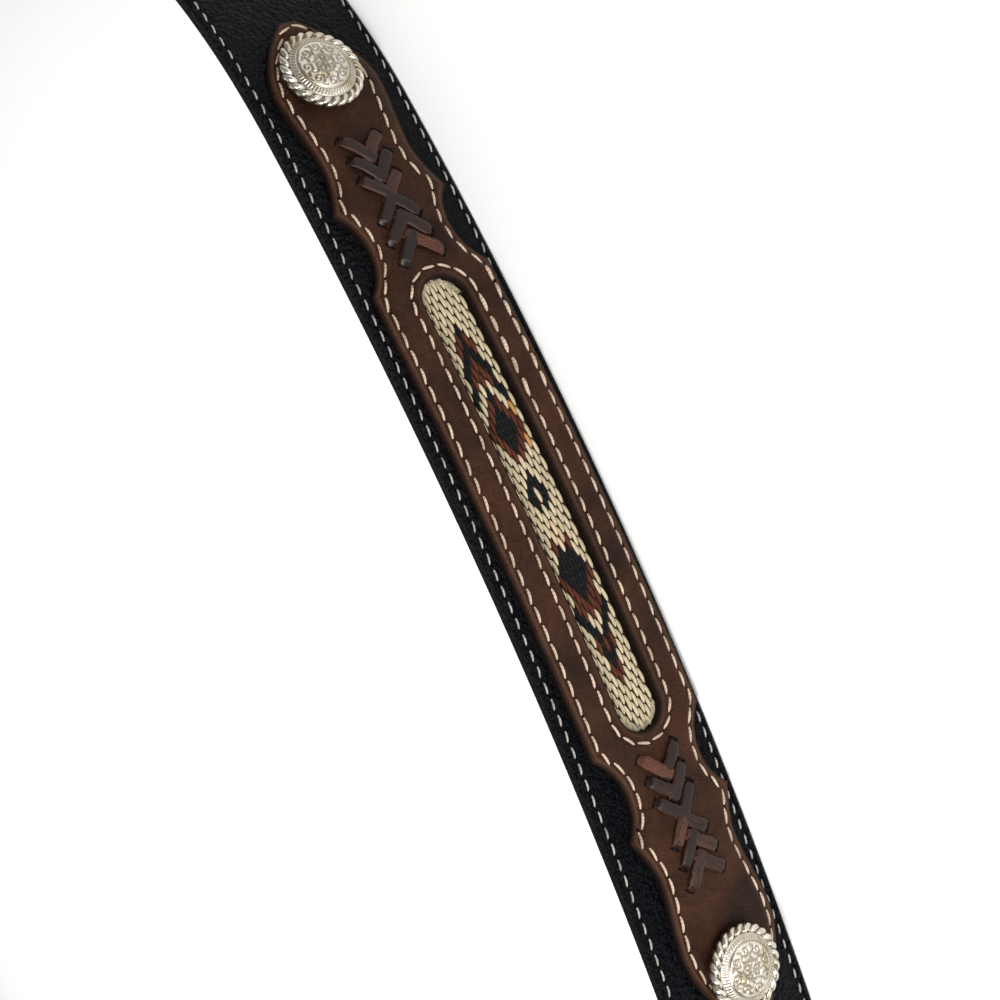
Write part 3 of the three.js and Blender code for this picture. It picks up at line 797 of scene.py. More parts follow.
@dataclass(frozen=True)
class ThreadTree:
    """Short lengths of thread that swell in the middle and dive at both ends."""

    name: str
    layout: Layout
    thin_end: float
    full_from: float
    flattened: float = 1.0
    sides: int = 6
    steps: int = 6

    def group(self) -> bpy.types.NodeTree:
        """Builds the tree once.

        Returns:
            The geometry tree, with its sizes as named inputs.
        """
        made = bpy.data.node_groups.get(self.name)
        if made:
            return made
        tree = bpy.data.node_groups.new(self.name, "GeometryNodeTree")
        sockets = {
            "Geometry": ("Places",),
            "Float": ("Pitch", "Length", "Radius", "Crown", "Sink", "Slant", "Jitter", "Hole"),
            "Int": ("Seed",),
            "Material": ("Thread", "Shadow"),
        }
        for kind, labels in sockets.items():
            for label in labels:
                tree.interface.new_socket(label, in_out="INPUT", socket_type=f"NodeSocket{kind}")
        tree.interface.new_socket("Laid", in_out="OUTPUT", socket_type="NodeSocketGeometry")
        given = put(tree, "NodeGroupInput").outputs
        places = given["Places"]
        if self.layout is Layout.PATHS:
            places = put(tree, "GeometryNodeMeshToCurve", {0: places}).outputs[0]
            places = put(tree, "GeometryNodeResampleCurve", {
                "Curve": places, "Length": given["Pitch"],
            }, mode="LENGTH").outputs[0]
            forward = put(tree, "GeometryNodeInputTangent").outputs[0]
        else:
            forward = put(tree, "GeometryNodeInputNamedAttribute", {
                "Name": "forward",
            }, data_type="FLOAT_VECTOR").outputs[0]
        facing = put(tree, "GeometryNodeInputNamedAttribute", {"Name": "facing"}, data_type="FLOAT_VECTOR")
        turned = put(tree, "FunctionNodeAxesToRotation", {
            "Primary Axis": facing.outputs[0], "Secondary Axis": forward,
        }, primary_axis="Z", secondary_axis="X").outputs[0]
        index = put(tree, "GeometryNodeInputIndex").outputs[0]
        low = put(tree, "ShaderNodeMath", {0: given["Jitter"], 1: -1.0}, operation="MULTIPLY").outputs[0]
        chance = put(tree, "FunctionNodeRandomValue", {
            2: low, 3: given["Jitter"], "ID": index, "Seed": given["Seed"],
        }, data_type="FLOAT").outputs[1]
        angle = put(tree, "ShaderNodeMath", {0: chance, 1: given["Slant"]}, operation="ADD").outputs[0]
        angle = put(tree, "ShaderNodeCombineXYZ", {"Z": angle}).outputs[0]
        slant = put(tree, "FunctionNodeEulerToRotation", {0: angle}).outputs[0]
        turned = put(tree, "FunctionNodeRotateRotation", {
            0: turned, 1: slant,
        }, rotation_space="LOCAL").outputs[0]
        half = put(tree, "ShaderNodeMath", {0: given["Length"], 1: 0.5}, operation="MULTIPLY").outputs[0]
        back = put(tree, "ShaderNodeMath", {0: half, 1: -1.0}, operation="MULTIPLY").outputs[0]
        down = put(tree, "ShaderNodeMath", {0: given["Sink"], 1: -1.0}, operation="MULTIPLY").outputs[0]
        line = put(tree, "GeometryNodeCurveQuadraticBezier", {
            "Resolution": self.steps,
            "Start": put(tree, "ShaderNodeCombineXYZ", {"X": back, "Z": down}).outputs[0],
            "Middle": put(tree, "ShaderNodeCombineXYZ", {"Z": given["Crown"]}).outputs[0],
            "End": put(tree, "ShaderNodeCombineXYZ", {"X": half, "Z": down}).outputs[0],
        }).outputs[0]
        share = put(tree, "GeometryNodeSplineParameter").outputs
        line = put(tree, "GeometryNodeStoreNamedAttribute", {
            "Geometry": line, "Name": "twist", "Value": share[1],
        }, data_type="FLOAT", domain="POINT").outputs[0]
        swell = put(tree, "ShaderNodeMath", {0: share[0], 1: math.pi}, operation="MULTIPLY").outputs[0]
        swell = put(tree, "ShaderNodeMath", {0: swell}, operation="SINE").outputs[0]
        swell = put(tree, "ShaderNodeMapRange", {
            0: swell, 1: 0.0, 2: self.full_from, 3: self.thin_end, 4: 1.0,
        }).outputs[0]
        ring = put(tree, "GeometryNodeCurvePrimitiveCircle", {
            "Resolution": self.sides, "Radius": given["Radius"],
        }).outputs[0]
        piece = put(tree, "GeometryNodeCurveToMesh", {
            "Curve": line, "Profile Curve": ring, "Scale": swell, "Fill Caps": True,
        }).outputs[0]
        piece = put(tree, "GeometryNodeTransform", {
            "Geometry": piece, "Scale": (1.0, 1.0, self.flattened),
        }).outputs[0]
        if self.layout is Layout.PATHS:
            piece = self.with_hole_shade(tree, given, piece, down)
        laid = put(tree, "GeometryNodeInstanceOnPoints", {
            "Points": places, "Instance": piece, "Rotation": turned,
        }).outputs[0]
        laid = put(tree, "GeometryNodeRealizeInstances", {0: laid}).outputs[0]
        laid = put(tree, "GeometryNodeSetShadeSmooth", {0: laid}).outputs[0]
        laid = put(tree, "GeometryNodeSetMaterial", {
            "Geometry": laid, "Material": given["Thread"],
        }).outputs[0]
        if self.layout is Layout.PATHS:
            is_hole = put(tree, "GeometryNodeInputNamedAttribute", {"Name": "is_hole"}, data_type="BOOLEAN")
            laid = put(tree, "GeometryNodeSetMaterial", {
                "Geometry": laid, "Selection": is_hole.outputs[0], "Material": given["Shadow"],
            }).outputs[0]
        put(tree, "NodeGroupOutput", {0: laid})
        return tree

    def with_hole_shade(
        self,
        tree: bpy.types.NodeTree,
        given: bpy.types.NodeOutputs,
        piece: bpy.types.NodeSocket,
        down: bpy.types.NodeSocket,
    ) -> bpy.types.NodeSocket:
        """Adds the needle hole that follows each stitch: a small flattened blob in the near-black shadow
        material, as painted shade.

        Args:
            tree: The geometry tree.
            given: Its inputs.
            piece: The stitch.
            down: How deep the stitch's ends lie.

        Returns:
            The stitch with its hole.
        """
        hole = put(tree, "GeometryNodeMeshUVSphere", {
            "Segments": 6, "Rings": 4, "Radius": given["Hole"],
        }).outputs[0]
        reach = put(tree, "ShaderNodeMath", {0: given["Pitch"], 1: 0.5}, operation="MULTIPLY").outputs[0]
        hole = put(tree, "GeometryNodeTransform", {
            "Geometry": hole,
            "Translation": put(tree, "ShaderNodeCombineXYZ", {"X": reach, "Z": down}).outputs[0],
            "Scale": (1.25, 0.85, 0.5),
        }).outputs[0]
        hole = put(tree, "GeometryNodeStoreNamedAttribute", {
            "Geometry": hole, "Name": "is_hole", "Value": True,
        }, data_type="BOOLEAN", domain="FACE").outputs[0]
        both = put(tree, "GeometryNodeJoinGeometry", {0: piece})
        tree.links.new(hole, both.inputs[0])
        return both.outputs[0]


@dataclass
class SewnRows:
    """Rows of one kind of stitch, laid along paths on the leather."""

    name: str
    thread: Finish
    pitch: float
    visible: float
    radius: float
    crown: float = 0.55
    sink: float = 0.25
    slant: float = -6.0
    jitter: float = 4.0
    hole: float = 0.46
    seed: int = 3
    points: list = field(default_factory=list)
    facing: list = field(default_factory=list)
    edges: list = field(default_factory=list)

    def add(self, points: np.ndarray, facing: np.ndarray) -> None:
        """Adds one path.

        Args:
            points: Its points in space.
            facing: The leather's outward direction at each.
        """
        first = sum(len(p) for p in self.points)
        self.points.append(points)
        self.facing.append(facing)
        self.edges += [(first + i, first + i + 1) for i in range(len(points) - 1)]

    def sew(self) -> bpy.types.Object:
        """Makes the stitches.

        Returns:
            One plain mesh of them all.
        """
        piece = build_mesh(
            self.name, np.concatenate(self.points), [], edges=self.edges,
            layers={"facing": np.concatenate(self.facing)},
        )
        tree = ThreadTree("lock_stitches", Layout.PATHS, thin_end=0.55, full_from=0.7)
        grow(piece, tree.group(), {
            "Pitch": self.pitch * MM,
            "Length": self.visible * MM,
            "Radius": self.radius * MM,
            "Crown": self.crown * MM,
            "Sink": self.sink * MM,
            "Slant": math.radians(self.slant),
            "Jitter": math.radians(self.jitter),
            "Hole": self.hole * MM,
            "Seed": self.seed,
            "Thread": self.thread.material(),
            "Shadow": PlainMatt().material(),
        })
        return piece


# Strap


@dataclass
class Strap:
    """The black strap: full width at the front, skived and folded round the buckle's bar."""

    route: BeltRoute
    thickness: float = 3.5
    end_width: float = 25.4
    taper: float = 75.0
    buckle_end: float = 50.0
    tip_end: float = 150.0
    tip_point: float = 24.0
    tip_bluntness: float = 0.14
    edge_radius: float = 0.95
    stitch_inset: float = 1.75
    channel_depth: float = 0.28
    hole_count: int = 5
    hole_spacing: float = 25.4
    hole_radius: float = 1.9
    first_hole: float = 64.0
    slot_length: float = 11.0
    slot_half: float = 2.4
    fine_step: float = 1.5
    coarse_step: float = 3.2
    fine_reach: float = 165.0
    thread: Finish = SewingThread(name="grey_polyester_thread", dye="#a6a29a", soiled_and_groove_shade="#66625b")

    def half_width(self, start: np.ndarray) -> np.ndarray:
        """Gives the strap's half width at distances from the fold's free end."""
        from_bar = start - self.route.bar
        from_tip = np.maximum(self.route.bar_to_tip - from_bar, 0.0)
        full = np.minimum(
            smooth((from_bar - self.buckle_end) / self.taper), smooth((from_tip - self.tip_end) / self.taper)
        )
        pointed = np.minimum(from_tip / self.tip_point, 1.0)
        rounding = np.maximum(np.sqrt(1 - (1 - pointed) ** 2), self.tip_bluntness)
        return (self.end_width + (self.route.strap_width - self.end_width) * full) * rounding / 2

    def depth(self, start: np.ndarray) -> np.ndarray:
        """Gives the strap's thickness at distances from the fold's free end."""
        full = smooth((start - self.route.bar - self.buckle_end) / self.taper)
        return self.route.ply + (self.thickness - self.route.ply) * full

    def stations(self) -> np.ndarray:
        """Spaces the sections: close in front, at the fold and at the tip, wider behind."""
        route = self.route
        tip = route.end - self.tip_point * (1 - np.sin(np.linspace(0, math.pi / 2, 16)))
        marks = [
            np.arange(0, route.bar + 6, 0.8),
            np.arange(route.bar + 6, route.window - self.fine_reach, self.coarse_step),
            np.arange(route.window - self.fine_reach, route.window + self.fine_reach, self.fine_step),
            np.arange(route.window + self.fine_reach, route.end - self.tip_point - 1, self.coarse_step),
            tip,
        ]
        return np.unique(np.round(np.concatenate(marks), 4))

    def section(self, half: np.ndarray, depth: np.ndarray) -> tuple[np.ndarray, np.ndarray]:
        """Draws the strap's section: burnished round edges and a shallow channel for each seam.

        Args:
            half: Half widths, one for each station.
            depth: Thicknesses, one for each station.

        Returns:
            Heights and distances out, a row for each station.
        """
        half, depth = half[:, None], depth[:, None]
        fit = np.minimum(half / 5.0, 1.0)
        radius = np.minimum(self.edge_radius, depth * 0.42) * fit
        marks = np.array([-0.62, -0.34, 0.0, 0.34, 0.62])
        dent = self.channel_depth * np.exp(-(marks / 0.36) ** 2)
        seam = half - (self.stitch_inset + marks) * fit
        middle = half * np.array([0.55, 0.0, -0.55])
        face_up = np.concatenate([seam, middle, -seam[:, ::-1]], axis=1)
        face_out = np.concatenate([-dent, np.zeros(3), -dent[::-1]])[None, :] + 0 * half
        turn = np.linspace(0, math.pi / 2, 5)[None, :]
        arc_up = half - radius * (1 - np.sin(turn))
        arc_out = radius * (1 - np.cos(turn))
        up = np.concatenate([
            face_up[:, ::-1], arc_up, arc_up[:, ::-1], face_up, -arc_up, -arc_up[:, ::-1],
        ], axis=1)
        out = np.concatenate([
            face_out[:, ::-1], -arc_out, arc_out[:, ::-1] - depth,
            -depth - face_out * 0.7, arc_out - depth, -arc_out[:, ::-1],
        ], axis=1)
        return up, out

    def cutters(self) -> bpy.types.Object:
        """Makes the punches for the five holes and the prong's slot, as one object.

        Returns:
            The object to cut with.
        """
        route = self.route
        points, faces = [], []
        turn = np.linspace(0, 2 * math.pi, 24, endpoint=False)
        tip = route.end - route.window
        for i in range(self.hole_count):
            rings = [
                level_ring(turn, self.hole_radius, z)
                for z in (-self.thickness - 1, 1)
            ]
            at = tip - self.first_hole - i * self.hole_spacing
            first = sum(len(p) for p in points)
            points.append(route.seat(at, 0.0, 0.0, np.concatenate(rings)))
            quads = np.array(grid_faces(2, len(turn), close_columns=True)) + first
            faces += quads.tolist()
            faces.append([first + k for k in range(len(turn))][::-1])
            faces.append([first + len(turn) + k for k in range(len(turn))])
        back, reach = -route.loop_radius - 1, route.loop_radius + 1
        corners = np.array([
            [x, y, z] for x in (back, self.slot_length) for y in (-self.slot_half, self.slot_half)
            for z in (-1, reach)
        ])
        first = sum(len(p) for p in points)
        points.append(route.seat(route.bar - route.window, 0.0, -route.loop_radius, corners))
        faces += [[first + k for k in quad] for quad in BOX_FACES]
        return build_mesh("strap_punches", np.concatenate(points), faces)

    def set_flat_places(self, piece: bpy.types.Object) -> None:
        """Gives each point of the strap its place on the unrolled leather.

        Args:
            piece: The strap, after it was cut.
        """
        route = self.route
        marks = np.arange(0, route.end + 1, 1.0) - route.window
        x, y, h = route.course(marks)
        tree = KDTree(len(marks))
        for i in range(len(marks)):
            tree.insert((x[i], y[i], 0.0), i)
        tree.balance()
        count = len(piece.data.vertices)
        points = np.zeros(count * 3)
        piece.data.vertices.foreach_get("co", points)
        points = points.reshape(-1, 3) / MM
        near = np.array([tree.find((p[0], p[1], 0.0))[1] for p in points])
        dx, dy = points[:, 0] - x[near], points[:, 1] - y[near]
        along = marks[near] + dx * np.cos(h[near]) + dy * np.sin(h[near])
        out = dx * np.sin(h[near]) - dy * np.cos(h[near])
        flat = np.stack([along, points[:, 2] - route.strap_width / 2, out], axis=1) * MM
        layer = piece.data.attributes.new("flat", "FLOAT_VECTOR", "POINT")
        layer.data.foreach_set("vector", flat.astype(np.float32).ravel())

    def build(self) -> bpy.types.Object:
        """Sweeps the strap and punches it.

        Returns:
            The strap's mesh.
        """
        start = self.stations()
        up, out = self.section(self.half_width(start), self.depth(start))
        rows, sides = up.shape
        points = self.route.place((start - self.route.window)[:, None] + 0 * up, up, out)
        faces = grid_faces(rows, sides, close_columns=True)
        faces.append(list(range(sides))[::-1])
        faces.append([(rows - 1) * sides + k for k in range(sides)])
        piece = build_mesh("belt_strap", points, faces, PebbledLeather().material())
        cut_out(piece, self.cutters())
        piece.data.shade_smooth()
        piece.data.set_sharp_from_angle(angle=math.radians(40))
        self.set_flat_places(piece)
        return piece

    def seams(self) -> bpy.types.Object:
        """Sews both faces along the strap's edges, from the fold to the tip and back.

        Returns:
            The stitches.
        """
        route = self.route
        rows = SewnRows(
            "strap_stitches", self.thread, pitch=3.8, visible=2.5, radius=0.26, crown=0.34, sink=0.26,
            slant=-9.0, hole=0.34,
        )
        start = np.concatenate([
            np.arange(route.bar + 16, route.end - self.tip_point, 1.0),
            route.end - self.tip_point * (1 - np.sin(np.linspace(0, math.pi / 2, 20))),
        ])
        half = self.half_width(start)
        along = start - route.window
        drift = 0.7 * smooth((-along - 45) / 40) * smooth((220 + along) / 60)
        drift = drift + 0.6 * smooth((58 - np.abs(along)) / 6)
        inset = self.stitch_inset * np.minimum(half / 5.0, 1.0)
        for side, level in ((1.0, 0.0 * half), (-1.0, -self.depth(start))):
            lower = route.place(along, -(half - inset - drift), level)
            upper = route.place(along, half - inset, level)
            path = np.concatenate([lower, upper[::-1]])
            facing = route.facing(along, side)
            rows.add(path, np.concatenate([facing, facing[::-1]]))
        return rows.sew()


# Overlay


@dataclass
class Overlay:
    """The brown scalloped panel: pressed thin at its rim, padded inside, cut open for the ribbon."""

    route: BeltRoute
    length: float = 252.0
    tip_shift: float = -2.5
    width: float = 32.2
    thickness: float = 2.5
    rim: float = 1.3
    slope: float = 4.0
    drop: float = 0.65
    rise: float = 3.0
    point: float = 4.4
    scallop: float = 4.3
    hollow_power: float = 1.6
    point_power: float = 1.85
    window_length: float = 110.0
    window_width: float = 11.6
    column_step: float = 0.8
    seam_inset: float = 2.15
    window_seam_half: float = 8.45
    window_seam_end: float = 57.5
    channel: float = 0.3
    spans: tuple = (
        (0.4405, 1.0, "straight"), (0.596, 0.951, "scallop"), (0.6825, 0.742, "hollow"),
        (0.827, 0.86, "swell"), (1.0, 0.0, "point"),
    )
    # The lower seam wanders inwards near the right concho: along, inset.
    lower_insets: Pairs = ((60, 2.15), (66, 2.4), (75, 3.3), (82, 3.9), (106, 3.9), (116, 2.6), (121, 2.15))

    def __post_init__(self) -> None:
        """Samples the outline and the window's edge finely, to measure distances from them."""
        columns = self.columns()
        fine = np.linspace(columns[0], columns[-1], 4200)
        half, middle = self.half(fine), self.middle(fine)
        ends = [
            np.stack([0 * s + c, self.middle(np.array([c])) + s], axis=1)
            for c in (columns[0], columns[-1])
            for s in [np.linspace(-self.point / 2, self.point / 2, 40)]
        ]
        sides = [np.stack([fine, middle + side * half], axis=1) for side in (-1, 1)]
        self.outline = np.concatenate(sides + ends)
        inside = fine[np.abs(fine) <= self.window_length / 2]
        inside = np.concatenate([inside, self.window_knots()])
        gap = self.window_half(inside)
        level = self.middle(inside)
        self.window_edge = np.concatenate([
            np.stack([inside, level + side * gap], axis=1) for side in (-1, 1)
        ])

    def middle(self, along: np.ndarray) -> np.ndarray:
        """Gives the height of the panel's middle line."""
        return -self.drop + self.rise * along / self.length

    def tip(self, side: int) -> float:
        """Gives how far a tip reaches from the window's middle."""
        return self.length / 2 + side * self.tip_shift

    def half(self, along: np.ndarray) -> np.ndarray:
        """Draws the scalloped outline.

        Args:
            along: Distances from the window's middle.

        Returns:
            The panel's half width at each.
        """
        full = self.width / 2
        result = np.zeros_like(along)
        for side in (-1, 1):
            here = (along * side) >= 0
            way = np.abs(along[here])
            drawn = np.zeros_like(way)
            start, from_half = 0.0, 1.0
            for share, to_half, curve in self.spans:
                stop = self.tip(side) if curve == "point" else share * self.length / 2
                on = way >= start
                u = np.clip((way[on] - start) / (stop - start), 0, 1)
                a, b = from_half * full, to_half * full
                drawn[on] = self.curve(curve, u, a, b, stop - start)
                start, from_half = stop, to_half
            result[here] = drawn
        return result

    def curve(self, kind: str, u: np.ndarray, a: float, b: float, length: float) -> np.ndarray:
        """Draws one span of the outline.

        Args:
            kind: The span's name.
            u: Shares of its length.
            a: Its half width at the start.
            b: Its half width at the end.
            length: How long it is.

        Returns:
            Half widths.
        """
        straight = a + (b - a) * u
        if kind == "scallop":
            chord = length / 2
            radius = (chord ** 2 + self.scallop ** 2) / (2 * self.scallop)
            return straight - np.sqrt(radius ** 2 - ((2 * u - 1) * chord) ** 2) + radius - self.scallop
        if kind == "hollow":
            return b + (a - b) * (1 - u) ** self.hollow_power
        if kind == "swell":
            return a + (b - a) * smooth(u)
        if kind == "point":
            return a + (self.point / 2 - a) * u ** self.point_power
        return straight

    def window_half(self, along: np.ndarray) -> np.ndarray:
        """Gives the window's half width, which is 0 outside it."""
        radius = self.window_width / 2
        past = np.maximum(np.abs(along) - (self.window_length / 2 - radius), 0.0)
        return np.sqrt(np.maximum(radius ** 2 - past ** 2, 0.0))

    def window_knots(self) -> np.ndarray:
        """Places columns evenly round the window's ends."""
        radius = self.window_width / 2
        turn = np.linspace(0, math.pi / 2, 18)
        reach = self.window_length / 2 - radius + radius * np.sin(turn)
        return np.concatenate([-reach[::-1], reach])

    def columns(self) -> np.ndarray:
        """Places the columns of the panel's grid, with one at each corner of the outline."""
        corners = [side * share * self.length / 2 for share, _, _ in self.spans[:-1] for side in (-1, 1)]
        near_tips = [side * (self.tip(side) - d) for side in (-1, 1) for d in (0.0, 0.2, 0.5, 0.9, 1.4, 2.0)]
        keys = np.unique(np.round(np.concatenate([corners, near_tips, self.window_knots()]), 4))
        steps = [
            np.linspace(a, b, max(1, math.ceil((b - a) / self.column_step)), endpoint=False)
            for a, b in zip(keys, keys[1:])
        ]
        return np.concatenate(steps + [keys[-1:]])

    def top(self, along: np.ndarray, up: np.ndarray) -> tuple[np.ndarray, np.ndarray, np.ndarray]:
        """Gives the height of the panel's face, with its padding, seams and rounded rims.

        Args:
            along: Places along the belt.
            up: Heights on the strap.

        Returns:
            How far out the face lies, and the distances from the outline and from the window.
        """
        spots = np.stack([along, up], axis=1)
        rim = nearest(spots, self.outline)
        inner = nearest(spots, self.window_edge)
        lift = self.rim + (self.thickness - self.rim) * smooth(rim / self.slope)
        for reach, distance in ((0.5, rim), (0.6, inner)):
            near = np.clip(reach - distance, 0.0, reach)
            lift = lift - (reach - np.sqrt(reach ** 2 - near ** 2))
        seam = rim - self.inset(along, up)
        window_seam = inner - (self.window_seam_half - self.window_width / 2)
        on_window = np.abs(along) < self.window_seam_end + 1
        lift = lift - self.channel * np.exp(-(seam / 0.55) ** 2)
        lift = lift - self.channel * np.exp(-(window_seam / 0.55) ** 2) * on_window
        return self.route.gap + lift, rim, inner

    def inset(self, along: np.ndarray, up: np.ndarray) -> np.ndarray:
        """Gives how far inside the outline the outer seam runs."""
        marks, insets = zip(*self.lower_insets)
        lower = np.interp(along, marks, insets)
        return np.where(up < self.middle(along), lower, self.seam_inset)

    def build(self) -> bpy.types.Object:
        """Makes the panel as two bands that meet beyond the window, with walls and an underside.

        Returns:
            The panel's mesh.
        """
        columns = self.columns()
        near = [0.0, 0.008, 0.02, 0.036, 0.058, 0.085]
        share = np.array(near + list(np.linspace(0.115, 0.885, 30)) + [1 - v for v in near[::-1]])
        count, rows = len(columns), len(share)
        half, gap, middle = self.half(columns), self.window_half(columns), self.middle(columns)
        points, faces, layers = [], [], {"flat": [], "edge": [], "wall": [], "rub_and_highlight": []}
        first = 0
        for side in (-1, 1):
            reach = gap[:, None] + share[None, :] * (half - gap)[:, None]
            up = (middle[:, None] + side * reach).ravel()
            along = np.repeat(columns, rows)
            out, rim, inner = self.top(along, up)
            low = np.full_like(out, 0.04)
            for level, wall in ((out, 0.0), (low, 1.0)):
                points.append(self.route.place(along, up, level))
                layers["flat"].append(np.stack([along, up, level], axis=1) * MM)
                layers["wall"].append(np.full_like(out, wall))
                # Darker near the outline for the burnished edge; darker and wider near the window as painted
                # shade of the deep cut.
                dark = 0.85 * np.exp(-(rim / 0.55) ** 2) + 0.95 * np.exp(-(inner / 0.8) ** 2)
                layers["edge"].append(np.clip(dark, 0, 1))
                # A lighter line just inside the outline and the window: partly rubbed wear, partly painted
                # highlight.
                rub_and_highlight = 0.55 * np.exp(-((rim - 1.0) / 0.35) ** 2) + 0.4 * np.exp(-((inner - 0.9) / 0.4) ** 2)
                layers["rub_and_highlight"].append(rub_and_highlight)
            quads = np.array(grid_faces(count, rows))
            faces += (quads + first).tolist() + (quads + first + count * rows).tolist()
            under = count * rows
            for k in range(count - 1):
                lines = [rows - 1] + ([0] if max(gap[k], gap[k + 1]) > 1e-6 else [])
                for r in lines:
                    a, b = first + k * rows + r, first + (k + 1) * rows + r
                    faces.append([a, b, b + under, a + under])
            for k in (0, count - 1):
                for r in range(rows - 1):
                    a = first + k * rows + r
                    faces.append([a, a + 1, a + 1 + under, a + under])
            first += 2 * under
        merged = {key: np.concatenate(values) for key, values in layers.items()}
        return build_mesh(
            "scalloped_overlay", np.concatenate(points), faces, OiledLeather().material(), merged, sharp=50,
        )

    def seam_path(self) -> np.ndarray:
        """Draws the outer seam: the outline, moved in, without the loops that corners make.

        Returns:
            Two columns, along and up, right round the panel.
        """
        ends = (-self.tip(-1), self.tip(1))
        along = np.linspace(ends[0], ends[1], 1600)
        upper = np.stack([along, self.middle(along) + self.half(along)], axis=1)
        lower = np.stack([along, self.middle(along) - self.half(along)], axis=1)
        loop = np.concatenate([upper, lower[::-1]])
        step = np.roll(loop, -1, axis=0) - np.roll(loop, 1, axis=0)
        step /= np.maximum(np.linalg.norm(step, axis=1, keepdims=True), 1e-9)
        inset = self.inset(loop[:, 0], loop[:, 1])
        moved = loop + np.stack([step[:, 1], -step[:, 0]], axis=1) * inset[:, None]
        kept = nearest(moved, self.outline) > 0.96 * self.inset(moved[:, 0], moved[:, 1]) - 0.02
        return moved[kept]

    def lay(self, path: np.ndarray) -> tuple[np.ndarray, np.ndarray]:
        """Lays a flat path on the panel's face.

        Args:
            path: Two columns, along and up.

        Returns:
            Its points in space, and the face's outward direction at each.
        """
        out, _, _ = self.top(path[:, 0], path[:, 1])
        return self.route.place(path[:, 0], path[:, 1], out + 0.12), self.route.facing(path[:, 0])

    def window_seam(self) -> np.ndarray:
        """Draws the seam round the window as a closed loop of along and up."""
        radius = self.window_seam_half
        straight = self.window_seam_end - radius
        turn = np.linspace(-math.pi / 2, math.pi / 2, 40)
        right = np.stack([straight + radius * np.cos(turn), radius * np.sin(turn)], axis=1)
        run = np.linspace(1, 0, 120)[1:-1, None] * np.array([[2 * straight, 0.0]])
        top = np.array([[-straight, radius]]) + run
        loop = np.concatenate([right, top, -right, -top])
        loop[:, 1] += self.middle(loop[:, 0])
        return loop

    def seams(self) -> list[bpy.types.Object]:
        """Sews the outer seam, the window's seam, and the doubled runs where each ends.

        Returns:
            The two seams and the doubled runs.
        """
        thread = SewingThread()
        outer = SewnRows("overlay_edge_stitches", thread, pitch=4.35, visible=3.7, radius=0.34, seed=5)
        inner = SewnRows("overlay_window_stitches", thread, pitch=4.0, visible=3.4, radius=0.34, seed=8)
        doubled = SewnRows(
            "overlay_doubled_stitches", thread, pitch=4.3, visible=3.8, radius=0.5, crown=0.6, seed=13,
        )
        runs = ((outer, self.seam_path(), 25.0, 52.0), (inner, self.window_seam(), 25.0, 46.0))
        for rows, path, start, stop in runs:
            on = (path[:, 0] > start) & (path[:, 0] < stop) & (path[:, 1] < self.middle(path[:, 0]))
            turned = np.roll(np.arange(len(path)), -int(np.flatnonzero(on)[0]))
            rows.add(*self.lay(path[turned][~on[turned]]))
            doubled.add(*self.lay(path[turned][on[turned]]))
        return [outer.sew(), inner.sew(), doubled.sew()]


# Ribbon


